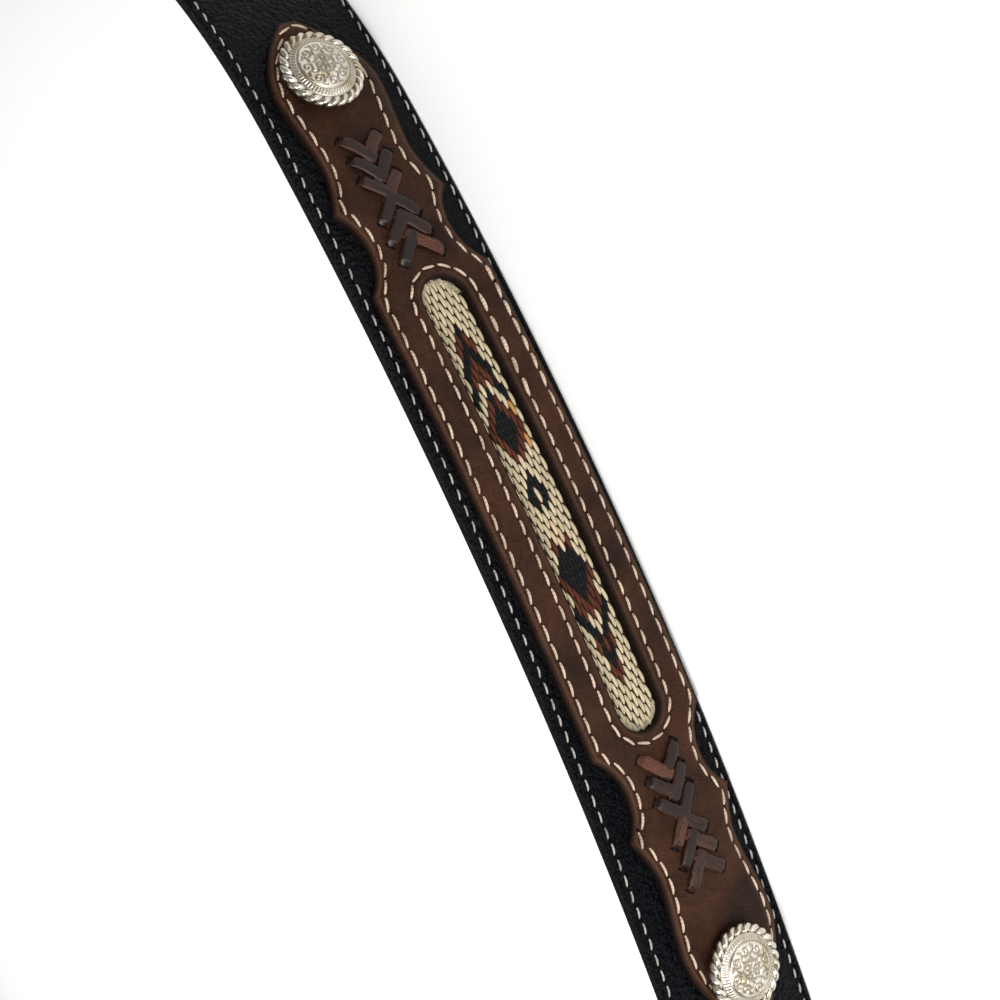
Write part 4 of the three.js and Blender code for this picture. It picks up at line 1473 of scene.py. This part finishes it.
@dataclass
class WovenRibbon:
    """The ribbon in the window: staggered floats in a stepped pattern, on a close ground."""

    panel: Overlay
    rows: int = 11
    row_pitch: float = 1.0
    float_pitch: float = 4.0
    float_length: float = 3.6
    float_width: float = 0.96
    ground_level: float = 0.42
    float_level: float = 0.75
    pattern_shift: float = 1.2
    tan: str = "#b9ab8d"
    rust: str = "#50291d"
    black: str = "#0d1115"
    blush: str = "#bda688"
    stain: str = "#b08049"

    def colour(self, along: float, across: float) -> str:
        """Reads the weaver's chart.

        Args:
            along: A float's place along the belt.
            across: Its place across the ribbon.

        Returns:
            Its colour.
        """
        u, v = abs(along - self.pattern_shift), abs(across)
        w = u + 3.05 * v
        if v > 4.6:
            return self.tan
        if u / 3.6 + v / 1.4 < 1:
            return self.tan
        if u / 7.1 + v / 2.9 < 1:
            return self.black
        if abs(u - 8.6) / 2.9 + v / 1.4 < 1:
            return self.blush
        if abs(u - 17.6) / 7.3 + v / 3.3 < 1:
            return self.black
        if abs(u - 17.6) / 11.5 + v / 4.8 < 1:
            return self.rust
        if 32.5 < w < 35.5 and v < 3.6:
            return self.rust
        if 35.5 < w < 41 and v < 4.6:
            return self.black
        if 41 < w < 44.8 and v < 2.9:
            return self.rust
        if 11 < along < 30 and across < -3.4:
            return self.stain
        return self.tan

    def build_ground(self) -> bpy.types.Object:
        """Makes the close ground that shows between the floats.

        Returns:
            The ground's mesh.
        """
        panel = self.panel
        knots = np.unique(np.concatenate([panel.window_knots(), np.linspace(-49, 49, 130)])) * 0.996
        share = np.linspace(-1, 1, 25)
        half = panel.window_half(knots) - 0.05
        along = np.repeat(knots, len(share))
        up = (panel.middle(knots)[:, None] + np.maximum(half, 0.2)[:, None] * share[None, :]).ravel()
        wave = np.cos(2 * math.pi * along / (self.float_pitch / 2))
        level = self.ground_level + 0.05 * wave * np.cos(math.pi * up / self.row_pitch)
        tops = panel.route.place(along, up, level)
        unders = panel.route.place(along, up, 0 * level + 0.06)
        rows, sides = len(knots), len(share)
        quads = np.array(grid_faces(rows, sides))
        faces = quads.tolist() + (quads + rows * sides).tolist()
        under = rows * sides
        rim = [r * sides for r in range(rows)] + [(rows - 1) * sides + c for c in range(1, sides)]
        rim += [r * sides + sides - 1 for r in range(rows - 2, -1, -1)] + list(range(sides - 2, 0, -1))
        faces += [[a, b, b + under, a + under] for a, b in zip(rim, rim[1:] + rim[:1])]
        tint = np.tile(np.array(srgb("#33281a")[:3]), (2 * under, 1))
        return build_mesh(
            "ribbon_ground", np.concatenate([tops, unders]), faces, RibbonYarn().material(), {"tint": tint},
        )

    def build_frayed_ends(self) -> bpy.types.Object:
        """Lays the loose fibres along the window's two round ends.

        Returns:
            The fibres.
        """
        panel = self.panel
        fuzz = SewingThread(name="frayed_cotton_ends", dye="#c4b89d", soiled_and_groove_shade="#85785f")
        rows = SewnRows("ribbon_frayed_ends", fuzz, pitch=0.2, visible=1.5, radius=0.05, crown=0.5,
                        slant=55.0, jitter=50.0, hole=0.02, seed=23)
        turn = np.linspace(-1.35, 1.35, 40)
        for side in (-1, 1):
            for inset in (0.5, 0.9):
                radius = panel.window_width / 2 - inset
                centre = panel.window_length / 2 - panel.window_width / 2
                along = side * (centre + radius * np.cos(turn))
                up = panel.middle(along) + radius * np.sin(turn)
                rows.add(panel.route.place(along, up, self.float_level + 0.15), panel.route.facing(along))
        return rows.sew()

    def build_floats(self) -> bpy.types.Object:
        """Lays the floats on the ground.

        Returns:
            One plain mesh of them all.
        """
        panel = self.panel
        chance = np.random.default_rng(17)
        places, tints = [], []
        top = (self.rows - 1) / 2
        for row in range(self.rows):
            across = (row - top) * self.row_pitch
            shift = (row % 2) * self.float_pitch / 2
            for along in np.arange(-56 + shift, 56, self.float_pitch):
                spot = np.array([along])
                if panel.window_half(spot)[0] < abs(across) + 0.2:
                    continue
                dye = np.array(srgb(self.colour(along, across))[:3]) * chance.uniform(0.86, 1.1)
                places.append((along, panel.middle(spot)[0] + across + chance.normal(0, 0.05)))
                tints.append(dye)
        spots = np.array(places)
        points = panel.route.place(spots[:, 0], spots[:, 1], self.float_level)
        _, _, h = panel.route.course(spots[:, 0])
        forward = np.stack([np.cos(h), np.sin(h), 0 * h], axis=1)
        piece = build_mesh("ribbon_floats", points, [], layers={
            "facing": panel.route.facing(spots[:, 0]), "forward": forward, "tint": np.array(tints),
        })
        tree = ThreadTree(
            "woven_floats", Layout.POINTS, thin_end=0.42, full_from=0.75, flattened=0.6, sides=8, steps=7,
        )
        grow(piece, tree.group(), {
            "Length": self.float_length * MM,
            "Radius": self.float_width / 2 * MM,
            "Crown": 0.5 * MM,
            "Sink": 0.45 * MM,
            "Slant": math.radians(5.0),
            "Jitter": math.radians(3.0),
            "Seed": 21,
            "Thread": RibbonYarn().material(),
        })
        return piece


# Lacing


@dataclass
class Lacing:
    """One group of laced arrows: six arrows of two arms, pointing at each other in threes."""

    panel: Overlay
    end: End
    from_window: float = 20.3
    half_height: float = 5.6
    raised: float = 0.7
    arm_run: float = 5.6
    tuck: float = 1.7
    point_gap: float = 0.3
    pitch: float = 5.0
    lift: float = 0.12
    width: float = 2.9
    thickness: float = 1.0
    arrows: int = 3
    steps: int = 26
    sides: int = 16

    def arms(self) -> list[tuple]:
        """Lists the arms.

        Returns:
            For each its slit, its point, how much it is lifted and how worn it is.
        """
        centre = self.end.value * (self.panel.window_length / 2 + self.from_window)
        level = float(self.panel.middle(np.array([centre]))[0]) + self.raised
        chance = np.random.default_rng(31 + self.end.value)
        rows = []
        for half in (-1, 1):
            for i in range(self.arrows):
                apex = centre + half * (self.point_gap + i * self.pitch)
                for edge in (-1, 1):
                    slit_up = level + edge * self.half_height + chance.normal(0, 0.3)
                    slit = (apex + half * self.arm_run, slit_up)
                    past = (apex - half * self.tuck, level - edge * self.tuck)
                    inner = half * self.end.value > 0
                    wear = chance.uniform(0.0, 0.3) + (0.25 if inner else 0.1)
                    wear += 0.4 * ((half * self.end.value < 0) and i == 2 and edge == -self.end.value)
                    rows.append((slit, past, (i + (edge + 1) / 4) * self.lift, wear))
        return rows

    def build(self) -> bpy.types.Object:
        """Sweeps the arms as soft flat thongs that dive into their slits.

        Returns:
            The group's mesh.
        """
        turn = np.linspace(0, 2 * math.pi, self.sides, endpoint=False)
        flat_cos = np.sign(np.cos(turn)) * np.abs(np.cos(turn)) ** 0.75
        flat_sin = np.sign(np.sin(turn)) * np.abs(np.sin(turn)) ** 0.75
        share = np.linspace(0, 1, self.steps)
        chance = np.random.default_rng(57 + self.end.value)
        points, faces = [], []
        layers = {"flat": [], "wear": []}
        for slit, past, lifted, worn in self.arms():
            slit, past = np.array(slit), np.array(past)
            line = slit[None, :] + share[:, None] * (past - slit)[None, :]
            way = (past - slit) / np.linalg.norm(past - slit)
            normal = np.array([-way[1], way[0]])
            sway = 0.18 * np.sin(share * math.pi * 2 + chance.uniform(0, 6)) * np.sin(share * math.pi)
            line = line + sway[:, None] * normal[None, :]
            base, _, _ = self.panel.top(line[:, 0], line[:, 1])
            width = (0.62 + 0.38 * smooth(share / 0.2)) * (1 - 0.2 * smooth((share - 0.75) / 0.25))
            width = width * (1 + 0.04 * chance.normal(size=self.steps))
            dive = smooth(1 - share / 0.13) + 0.8 * smooth((share - 0.9) / 0.1)
            level = base + 0.42 + lifted + 0.28 * np.sin(share * math.pi) - 1.3 * dive
            across = width[:, None] * self.width / 2 * flat_cos[None, :]
            raise_by = self.thickness / 2 * flat_sin[None, :] * (1 - 0.12 * flat_cos[None, :] ** 2)
            along = line[:, :1] + across * normal[0]
            up = line[:, 1:] + across * normal[1]
            out = level[:, None] + raise_by
            first = sum(len(p) for p in points)
            points.append(self.panel.route.place(along, up, out))
            quads = np.array(grid_faces(self.steps, self.sides, close_columns=True)) + first
            faces += quads.tolist()
            faces.append([first + k for k in range(self.sides)][::-1])
            faces.append([first + (self.steps - 1) * self.sides + k for k in range(self.sides)])
            stretched = np.stack([share[:, None] * 2.0 + 0 * across, across * 1.4, out], axis=2)
            layers["flat"].append((stretched.reshape(-1, 3) + slit[0]) * MM)
            rubbed = worn + 0.3 * np.abs(flat_cos[None, :]) ** 6 + 0 * across
            layers["wear"].append(rubbed.ravel())
        merged = {key: np.concatenate(values) for key, values in layers.items()}
        name = f"lacing_{self.end.name.lower()}"
        return build_mesh(name, np.concatenate(points), faces, LaceLeather().material(), merged, sharp=70)

    def build_fray(self) -> bpy.types.Object:
        """Raises fine fibres on the arms that are worn through their glaze.

        Returns:
            The fibres.
        """
        fuzz = SewingThread(name="frayed_lace_fibre", dye="#744632", soiled_and_groove_shade="#3c241a")
        name = f"lace_fray_{self.end.name.lower()}"
        rows = SewnRows(name, fuzz, pitch=0.16, visible=1.3, radius=0.045, crown=0.7, slant=35.0,
                        jitter=65.0, hole=0.02, seed=41)
        arms = self.arms()
        share = np.linspace(0.18, 0.66, 30)[:, None]
        for k in (4,) if self.end is End.RIGHT else (11, 1):
            slit, past, lifted, _ = arms[k]
            line = np.array(slit) + share * (np.array(past) - np.array(slit))
            out, _, _ = self.panel.top(line[:, 0], line[:, 1])
            for shift in (-0.7, 0.0, 0.7):
                moved = line + np.array([shift, 0.0])
                points = self.panel.route.place(moved[:, 0], moved[:, 1], out + 1.1 + lifted)
                rows.add(points, self.panel.route.facing(moved[:, 0]))
        return rows.sew()

    def build_slit_shade(self) -> bpy.types.Object:
        """Makes near-black discs where the laces come out of their slits, as painted shade.

        Returns:
            The slits' mesh.
        """
        turn = np.linspace(0, 2 * math.pi, 16, endpoint=False)
        points, faces = [], []
        for slit, past, _, _ in self.arms():
            slit, past = np.array(slit), np.array(past)
            way = (past - slit) / np.linalg.norm(past - slit)
            normal = np.array([-way[1], way[0]])
            centre = slit + 0.15 * way
            for radius, level in ((1.0, 0.0), (0.82, 0.05), (0.0, -0.02)):
                ring = centre + radius * (
                    1.45 * np.cos(turn)[:, None] * normal + 0.42 * np.sin(turn)[:, None] * way
                )
                base, _, _ = self.panel.top(ring[:, 0], ring[:, 1])
                points.append(self.panel.route.place(ring[:, 0], ring[:, 1], base + level))
            first = len(points) * 16 - 48
            faces += (np.array(grid_faces(3, 16, close_columns=True)) + first).tolist()
        name = f"lace_slit_shade_{self.end.name.lower()}"
        return build_mesh(name, np.concatenate(points), faces, PlainMatt().material())


# Conchos


@dataclass
class Concho:
    """A cast concho: an engraved dome inside a twisted rope edge, on a post through the belt."""

    panel: Overlay
    end: End
    from_tip: float = 16.5
    raised: float = 1.8
    radius: float = 9.9
    wall: float = 2.2
    dome: float = 2.7
    rope_radius: float = 1.35
    strands: int = 24
    strand_relief: float = 0.42
    post_radius: float = 1.8
    head_radius: float = 4.2
    head_thickness: float = 1.0
    engraving: float = 0.2
    line_width: float = 0.26
    scrolls: int = 8

    @property
    def spot(self) -> tuple[float, float]:
        """Where the concho's middle lies: along and up."""
        along = self.end.value * (self.panel.tip(self.end.value) - self.from_tip)
        return along, float(self.panel.middle(np.array([along]))[0]) + self.raised

    @property
    def seat_level(self) -> float:
        """How far out the concho's base lies."""
        return self.panel.route.gap * 2 + self.panel.thickness

    def engraved_lines(self) -> np.ndarray:
        """Draws the engraving: a rosette, and scrolls with a leaf between each two.

        Returns:
            Points on the cut lines, two columns.
        """
        lines = []
        t = np.linspace(0, 1, 60)
        for k in range(self.scrolls):
            base = 2 * math.pi * k / self.scrolls
            centre = 4.6 * np.array([math.cos(base), math.sin(base)])
            spin = base + 1.2 + 7.6 * t
            reach = 1.35 * (1 - 0.86 * t)
            lines.append(centre + np.stack([reach * np.cos(spin), reach * np.sin(spin)], axis=1))
            leaf = base + math.pi / self.scrolls + 0.16 * np.sin(t * math.pi * 2)
            far = 2.4 + 3.0 * t
            lines.append(np.stack([far * np.cos(leaf), far * np.sin(leaf)], axis=1))
            petal = base + 0.36 * np.sin(t * 2 * math.pi)
            far = 0.5 + 1.5 * np.sin(t * math.pi)
            lines.append(np.stack([far * np.cos(petal), far * np.sin(petal)], axis=1))
        turn = np.linspace(0, 2 * math.pi, 300)
        for ring in (0.45, 2.3, 6.2):
            lines.append(ring * np.stack([np.cos(turn), np.sin(turn)], axis=1))
        return np.concatenate(lines)

    def dome_grid(self) -> tuple[np.ndarray, np.ndarray, list]:
        """Makes the dome, its straight wall and its base.

        Returns:
            Points, how recessed each one is, and faces.
        """
        inner = self.radius - self.rope_radius
        turn = np.linspace(0, 2 * math.pi, 288, endpoint=False)
        far = np.concatenate([np.linspace(0.0, 0.985, 92), [0.995, 1.0]]) * inner
        spots = (far[:, None, None] * np.stack([np.cos(turn), np.sin(turn)], axis=1)[None]).reshape(-1, 2)
        cut = np.exp(-(nearest(spots, self.engraved_lines()) / self.line_width) ** 2)
        reach = np.linalg.norm(spots, axis=1)
        band = np.exp(-((reach - 6.95) / 0.6) ** 6)
        angle = np.arctan2(spots[:, 1], spots[:, 0])
        hatch = band * (0.5 + 0.5 * np.cos(angle * 60 + reach * 2))
        cut = np.maximum(cut * (reach < 6.45), hatch * 0.8)
        crown = np.maximum(1 - (reach / inner) ** 2.6, 0.0) ** 0.62
        level = self.wall + self.dome * crown - self.engraving * cut
        tops = np.concatenate([spots, level[:, None]], axis=1)
        gutter = smooth((reach - 7.5) / 0.5)
        tarnish_and_shade = np.clip(0.55 * cut + 0.9 * gutter, 0, 1)
        rim = inner * np.stack([np.cos(turn), np.sin(turn)], axis=1)
        base = np.concatenate([rim, np.zeros((288, 1))], axis=1)
        low = np.concatenate([rim * 0.01, np.zeros((288, 1))], axis=1)
        points = np.concatenate([tops, base, low])
        tarnish_and_shade = np.concatenate([tarnish_and_shade, np.full(576, 0.9)])
        return points, tarnish_and_shade, grid_faces(len(far) + 2, 288, close_columns=True)

    def rope_grid(self) -> tuple[np.ndarray, np.ndarray, list]:
        """Makes the rope edge: slanted strands round a ring.

        Returns:
            Points, how dark each one is (tarnish between the strands, painted shade on the under side), and
            faces.
        """
        inner = self.radius - self.rope_radius
        turn = np.linspace(0, 2 * math.pi, self.strands * 20, endpoint=False)[:, None]
        angle = np.linspace(0, 2 * math.pi, 24, endpoint=False)[None, :]
        strand = np.abs(np.cos((self.strands * turn - 2 * angle) / 2)) ** 0.8
        girth = self.rope_radius * (1 - self.strand_relief * (1 - strand))
        far = inner + girth * np.cos(angle)
        level = self.wall + girth * np.sin(angle)
        points = np.stack([far * np.cos(turn), far * np.sin(turn), level], axis=2)
        # Tarnish between the strands, plus painted shade on the rope's under side.
        tarnish_and_shade = np.clip(1.1 - 1.9 * strand, 0, 1) + 0.35 * np.clip(-np.sin(angle), 0, 1) + 0 * turn
        faces = grid_faces(turn.shape[0], 24, close_rows=True, close_columns=True)
        return points.reshape(-1, 3), np.clip(tarnish_and_shade, 0, 1).ravel(), faces

    def post_grid(self) -> tuple[np.ndarray, np.ndarray, list]:
        """Makes the post that the screw grips.

        Returns:
            Points, how recessed each one is, and faces.
        """
        turn = np.linspace(0, 2 * math.pi, 24, endpoint=False)
        levels = [(0.0, 1.0), (1.0, 1.0), (1.0, -self.seat_level - 3.4), (0.0, -self.seat_level - 3.4)]
        rings = [
            level_ring(turn, w * self.post_radius, z)
            for w, z in levels
        ]
        return np.concatenate(rings), np.full(96, 0.5), grid_faces(4, 24, close_columns=True)

    def build(self) -> bpy.types.Object:
        """Joins the dome, the rope edge and the post.

        Returns:
            The concho's mesh.
        """
        points, tarnish_and_shade, faces = [], [], []
        for grid, hollow, quads in (self.dome_grid(), self.rope_grid(), self.post_grid()):
            first = sum(len(p) for p in points)
            points.append(grid)
            tarnish_and_shade.append(hollow)
            faces += (np.array(quads) + first).tolist()
        along, up = self.spot
        placed = self.panel.route.seat(along, up, self.seat_level, np.concatenate(points))
        name = f"rope_edge_concho_{self.end.name.lower()}"
        layers = {"tarnish_and_shade": np.concatenate(tarnish_and_shade)}
        return build_mesh(name, placed, faces, CastSilver().material(), layers, sharp=60)

    def build_screw(self) -> bpy.types.Object:
        """Makes the screw's slotted head behind the strap.

        Returns:
            The screw's mesh.
        """
        turn = np.linspace(0, 2 * math.pi, 48, endpoint=False)
        profile = [
            (0.0, 0.0), (0.97, 0.0), (1.0, -0.15), (1.0, -0.6), (0.96, -0.85), (0.86, -0.98), (0.0, -1.0),
        ]
        rings = [
            level_ring(turn, w * self.head_radius, z * self.head_thickness)
            for w, z in profile
        ]
        along, up = self.spot
        level = -3.5 - self.panel.route.gap
        route = self.panel.route
        name = f"concho_screw_head_{self.end.name.lower()}"
        faces = grid_faces(len(profile), 48, close_columns=True)
        points = route.seat(along, up, level, np.concatenate(rings))
        head = build_mesh(name, points, faces, PlatedSteel().material(), sharp=30)
        corners = np.array([
            [x, y, z] for x in (-6, 6) for y in (-0.55, 0.55) for z in (-0.45, -2)
        ])
        slot = build_mesh("screw_slot", route.seat(along, up, level, corners), [list(q) for q in BOX_FACES])
        cut_out(head, slot)
        return head


# Buckle and keeper


def rounded_loop(width: float, height: float, corner: float, steps: int = 9) -> np.ndarray:
    """Draws a rounded rectangle round the origin.

    Args:
        width: Its size along x.
        height: Its size along y.
        corner: The radius of its corners.
        steps: How many points each corner takes.

    Returns:
        Its points, two columns.
    """
    turn = np.linspace(0, math.pi / 2, steps)
    x, y = width / 2 - corner, height / 2 - corner
    rows = []
    for k, (cx, cy) in enumerate(((x, y), (-x, y), (-x, -y), (x, -y))):
        angle = turn + k * math.pi / 2
        rows.append(np.stack([cx + corner * np.cos(angle), cy + corner * np.sin(angle)], axis=1))
    return np.concatenate(rows)


@dataclass
class Buckle:
    """The heel-bar buckle with its prong, and the leather keeper beside it."""

    route: BeltRoute
    length: float = 36.0
    height: float = 35.6
    rail: float = 4.2
    corner: float = 6.0
    prong_radius: float = 1.5
    keeper_width: float = 10.0
    keeper_thickness: float = 1.8
    end_width: float = 25.4

    def frame_points(self) -> tuple[np.ndarray, list]:
        """Makes the frame from two loops on each face.

        Returns:
            Points and faces.
        """
        route = self.route
        half = route.buckle_thickness / 2
        outer = rounded_loop(self.length, self.height, self.corner)
        inner = rounded_loop(
            self.length - self.rail - route.bar_width, self.height - 2 * self.rail, self.corner - self.rail,
        )
        inner[:, 0] += (self.rail - route.bar_width) / 2
        shift = route.bar_width / 2 - self.length / 2
        loops = []
        for loop, z in ((outer, half), (inner, half), (inner, -half), (outer, -half)):
            loops.append(np.stack([loop[:, 0] + shift, loop[:, 1], 0 * loop[:, 0] + z], axis=1))
        return np.concatenate(loops), grid_faces(4, len(outer), close_rows=True, close_columns=True)

    def prong_points(self) -> tuple[np.ndarray, list]:
        """Makes the prong: hooked round the bar, flattened where it rests on the toe.

        Returns:
            Points and faces.
        """
        route = self.route
        hook = math.hypot(route.bar_width, route.buckle_thickness) / 2 + self.prong_radius - 0.4
        turn = np.linspace(math.radians(-150), math.radians(80), 22)
        rest = route.buckle_thickness / 2 + self.prong_radius * 0.9
        toe = route.bar_width / 2 - self.length + self.rail * 0.4
        hooked = np.stack([hook * np.cos(turn), hook * np.sin(turn)], axis=1)
        share = np.linspace(0, 1, 26)[1:]
        straight = np.stack([
            hooked[-1, 0] + (toe - hooked[-1, 0]) * share,
            hooked[-1, 1] + (rest - hooked[-1, 1]) * smooth(share * 3),
        ], axis=1)
        path = np.concatenate([hooked, straight])
        step = np.gradient(path, axis=0)
        step /= np.linalg.norm(step, axis=1, keepdims=True)
        side = np.stack([-step[:, 1], step[:, 0]], axis=1)
        girth = np.concatenate([
            np.linspace(0.75, 1.0, 22), 1.0 - 0.25 * smooth((share - 0.72) / 0.28),
        ]) * self.prong_radius
        angle = np.linspace(0, 2 * math.pi, 16, endpoint=False)
        rings = np.stack([
            path[:, :1] + side[:, :1] * girth[:, None] * np.sin(angle),
            girth[:, None] * np.cos(angle),
            path[:, 1:] + side[:, 1:] * girth[:, None] * np.sin(angle),
        ], axis=2)
        count = len(path)
        faces = grid_faces(count, 16, close_columns=True)
        faces.append(list(range(16))[::-1])
        faces.append([(count - 1) * 16 + k for k in range(16)])
        return rings.reshape(-1, 3), faces

    def build(self) -> bpy.types.Object:
        """Joins the bevelled frame and the prong.

        Returns:
            The buckle's mesh.
        """
        route = self.route
        at = (route.bar - route.window, 0.0, -route.loop_radius)
        steel = PlatedSteel().material()
        points, faces = self.frame_points()
        piece = build_mesh("heel_bar_buckle", route.seat(*at, points), faces, steel)
        bevel = piece.modifiers.new("tumbled_edges", "BEVEL")
        bevel.width = 0.9 * MM
        bevel.segments = 4
        bevel.limit_method = "ANGLE"
        bevel.angle_limit = math.radians(50)
        set_plain_mesh(piece)
        points, faces = self.prong_points()
        prong = build_mesh("prong", route.seat(*at, points), faces, steel)
        work = bmesh.new()
        work.from_mesh(piece.data)
        work.from_mesh(prong.data)
        work.to_mesh(piece.data)
        work.free()
        bpy.data.objects.remove(prong)
        piece.data.shade_smooth()
        piece.data.set_sharp_from_angle(angle=math.radians(55))
        return piece

    def build_keeper(self) -> bpy.types.Object:
        """Bends the keeper round both plies, with soft burnished edges.

        Returns:
            The keeper's mesh.
        """
        route = self.route
        plies = 2 * route.ply + route.gap
        deep = plies + 2 * route.gap + self.keeper_thickness
        tall = self.end_width + 2 * route.gap + self.keeper_thickness
        loop = rounded_loop(deep, tall, 1.3, steps=7)
        step = np.roll(loop, -1, axis=0) - np.roll(loop, 1, axis=0)
        step /= np.linalg.norm(step, axis=1, keepdims=True)
        outward = np.stack([step[:, 1], -step[:, 0]], axis=1)
        section = rounded_loop(self.keeper_width, self.keeper_thickness, 0.6, steps=5)
        rings = np.stack([
            section[None, :, 0] + 0 * loop[:, :1],
            loop[:, 1:] + outward[:, 1:] * section[None, :, 1],
            loop[:, :1] + outward[:, :1] * section[None, :, 1],
        ], axis=2)
        rows, sides = rings.shape[:2]
        local = rings.reshape(-1, 3)
        at = route.bar - route.window + route.keeper_from_bar
        points = route.seat(at, 0.0, -plies / 2, local)
        round_it = np.repeat(np.cumsum(np.linalg.norm(step, axis=1)) * 1.1, sides)
        flat = np.stack([local[:, 0], round_it, 0 * round_it], axis=1) * MM
        faces = grid_faces(rows, sides, close_rows=True, close_columns=True)
        leather = PebbledLeather().material()
        return build_mesh("belt_keeper", points, faces, leather, {"flat": flat}, sharp=50)


# Stage


@dataclass
class Stage:
    """The pale floor, the soft lights and the camera of the photograph."""

    location: tuple[float, float, float] = (0.026987, -0.460946, 0.200938)
    euler_degrees: tuple[float, float, float] = (-33.47025, 50.42497, -131.06857)
    lens: float = 54.0
    floor_size: float = 6.0
    world_strength: float = 0.32
    # place, target, size, watts
    lights: tuple = (
        ((-0.30, -0.60, 0.62), (0.0, -0.18, 0.02), 0.26, 5.5),
        ((-0.30, -1.05, 0.17), (0.0, -0.18, 0.02), 0.24, 3.6),
        ((0.0, 0.7, 0.8), (0.0, 0.0, 0.0), 0.9, 5.0),
    )

    def build_floor(self) -> bpy.types.Object:
        """Lays the floor.

        Returns:
            The floor.
        """
        half = self.floor_size / 2 / MM
        corners = np.array([(x * half, y * half, -0.05) for x, y in ((-1, -1), (1, -1), (1, 1), (-1, 1))])
        paper = PlainMatt(name="white_paper", tone="#f7f7f6", glow=0.2)
        return build_mesh("floor", corners, [[0, 1, 2, 3]], paper.material())

    def light(self) -> None:
        """Hangs the lights and sets the sky."""
        for k, (place, target, size, watts) in enumerate(self.lights):
            lamp = bpy.data.lights.new(f"soft_light_{k}", "AREA")
            lamp.size = size
            lamp.energy = watts
            hung = bpy.data.objects.new(lamp.name, lamp)
            hung.location = place
            hung.rotation_euler = (Vector(place) - Vector(target)).to_track_quat("Z", "Y").to_euler()
            bpy.context.scene.collection.objects.link(hung)
        world = bpy.data.worlds.new("studio")
        world.use_nodes = True
        sky = world.node_tree.nodes["Background"]
        sky.inputs[0].default_value = (1.0, 1.0, 1.0, 1.0)
        sky.inputs[1].default_value = self.world_strength
        bpy.context.scene.world = world

    def stand_camera(self) -> None:
        """Puts the camera at the photograph's place and angle."""
        camera = bpy.data.objects.new("camera", bpy.data.cameras.new("camera"))
        camera.data.lens = self.lens
        camera.data.sensor_width = 36.0
        camera.data.clip_start = 0.01
        camera.location = self.location
        camera.rotation_euler = Euler([math.radians(a) for a in self.euler_degrees])
        bpy.context.scene.collection.objects.link(camera)
        bpy.context.scene.camera = camera
        bpy.context.scene.view_settings.view_transform = "Standard"


def main() -> None:
    """Builds the belt piece by piece, then its stage."""
    logging.basicConfig(level=logging.INFO, format="%(name)s %(message)s")
    route = BeltRoute()
    strap = Strap(route)
    hand_in(strap.build(), Slot.BLACK_LEATHER, "strap")
    hand_in(strap.seams(), Slot.WOVEN)
    panel = Overlay(route)
    hand_in(panel.build(), Slot.BROWN_LEATHER, "overlay")
    for seam in panel.seams():
        hand_in(seam, Slot.WOVEN)
    ribbon = WovenRibbon(panel)
    hand_in(ribbon.build_ground(), Slot.WOVEN, "ribbon")
    hand_in(ribbon.build_floats(), Slot.WOVEN, "ribbon")
    hand_in(ribbon.build_frayed_ends(), Slot.WOVEN)
    for end in End:
        side = end.name.lower()
        lacing = Lacing(panel, end)
        hand_in(lacing.build(), Slot.LACE, f"lace_{side}")
        hand_in(lacing.build_slit_shade(), Slot.BROWN_LEATHER)
        hand_in(lacing.build_fray(), Slot.LACE)
        concho = Concho(panel, end)
        hand_in(concho.build(), Slot.SILVER, f"concho_{side}")
        hand_in(concho.build_screw(), Slot.STEEL, f"concho_screw_{side}")
    buckle = Buckle(route)
    hand_in(buckle.build(), Slot.STEEL, "buckle")
    hand_in(buckle.build_keeper(), Slot.BLACK_LEATHER, "keeper")
    stage = Stage()
    stage.build_floor()
    stage.light()
    stage.stand_camera()


if __name__ == "__main__":
    main()
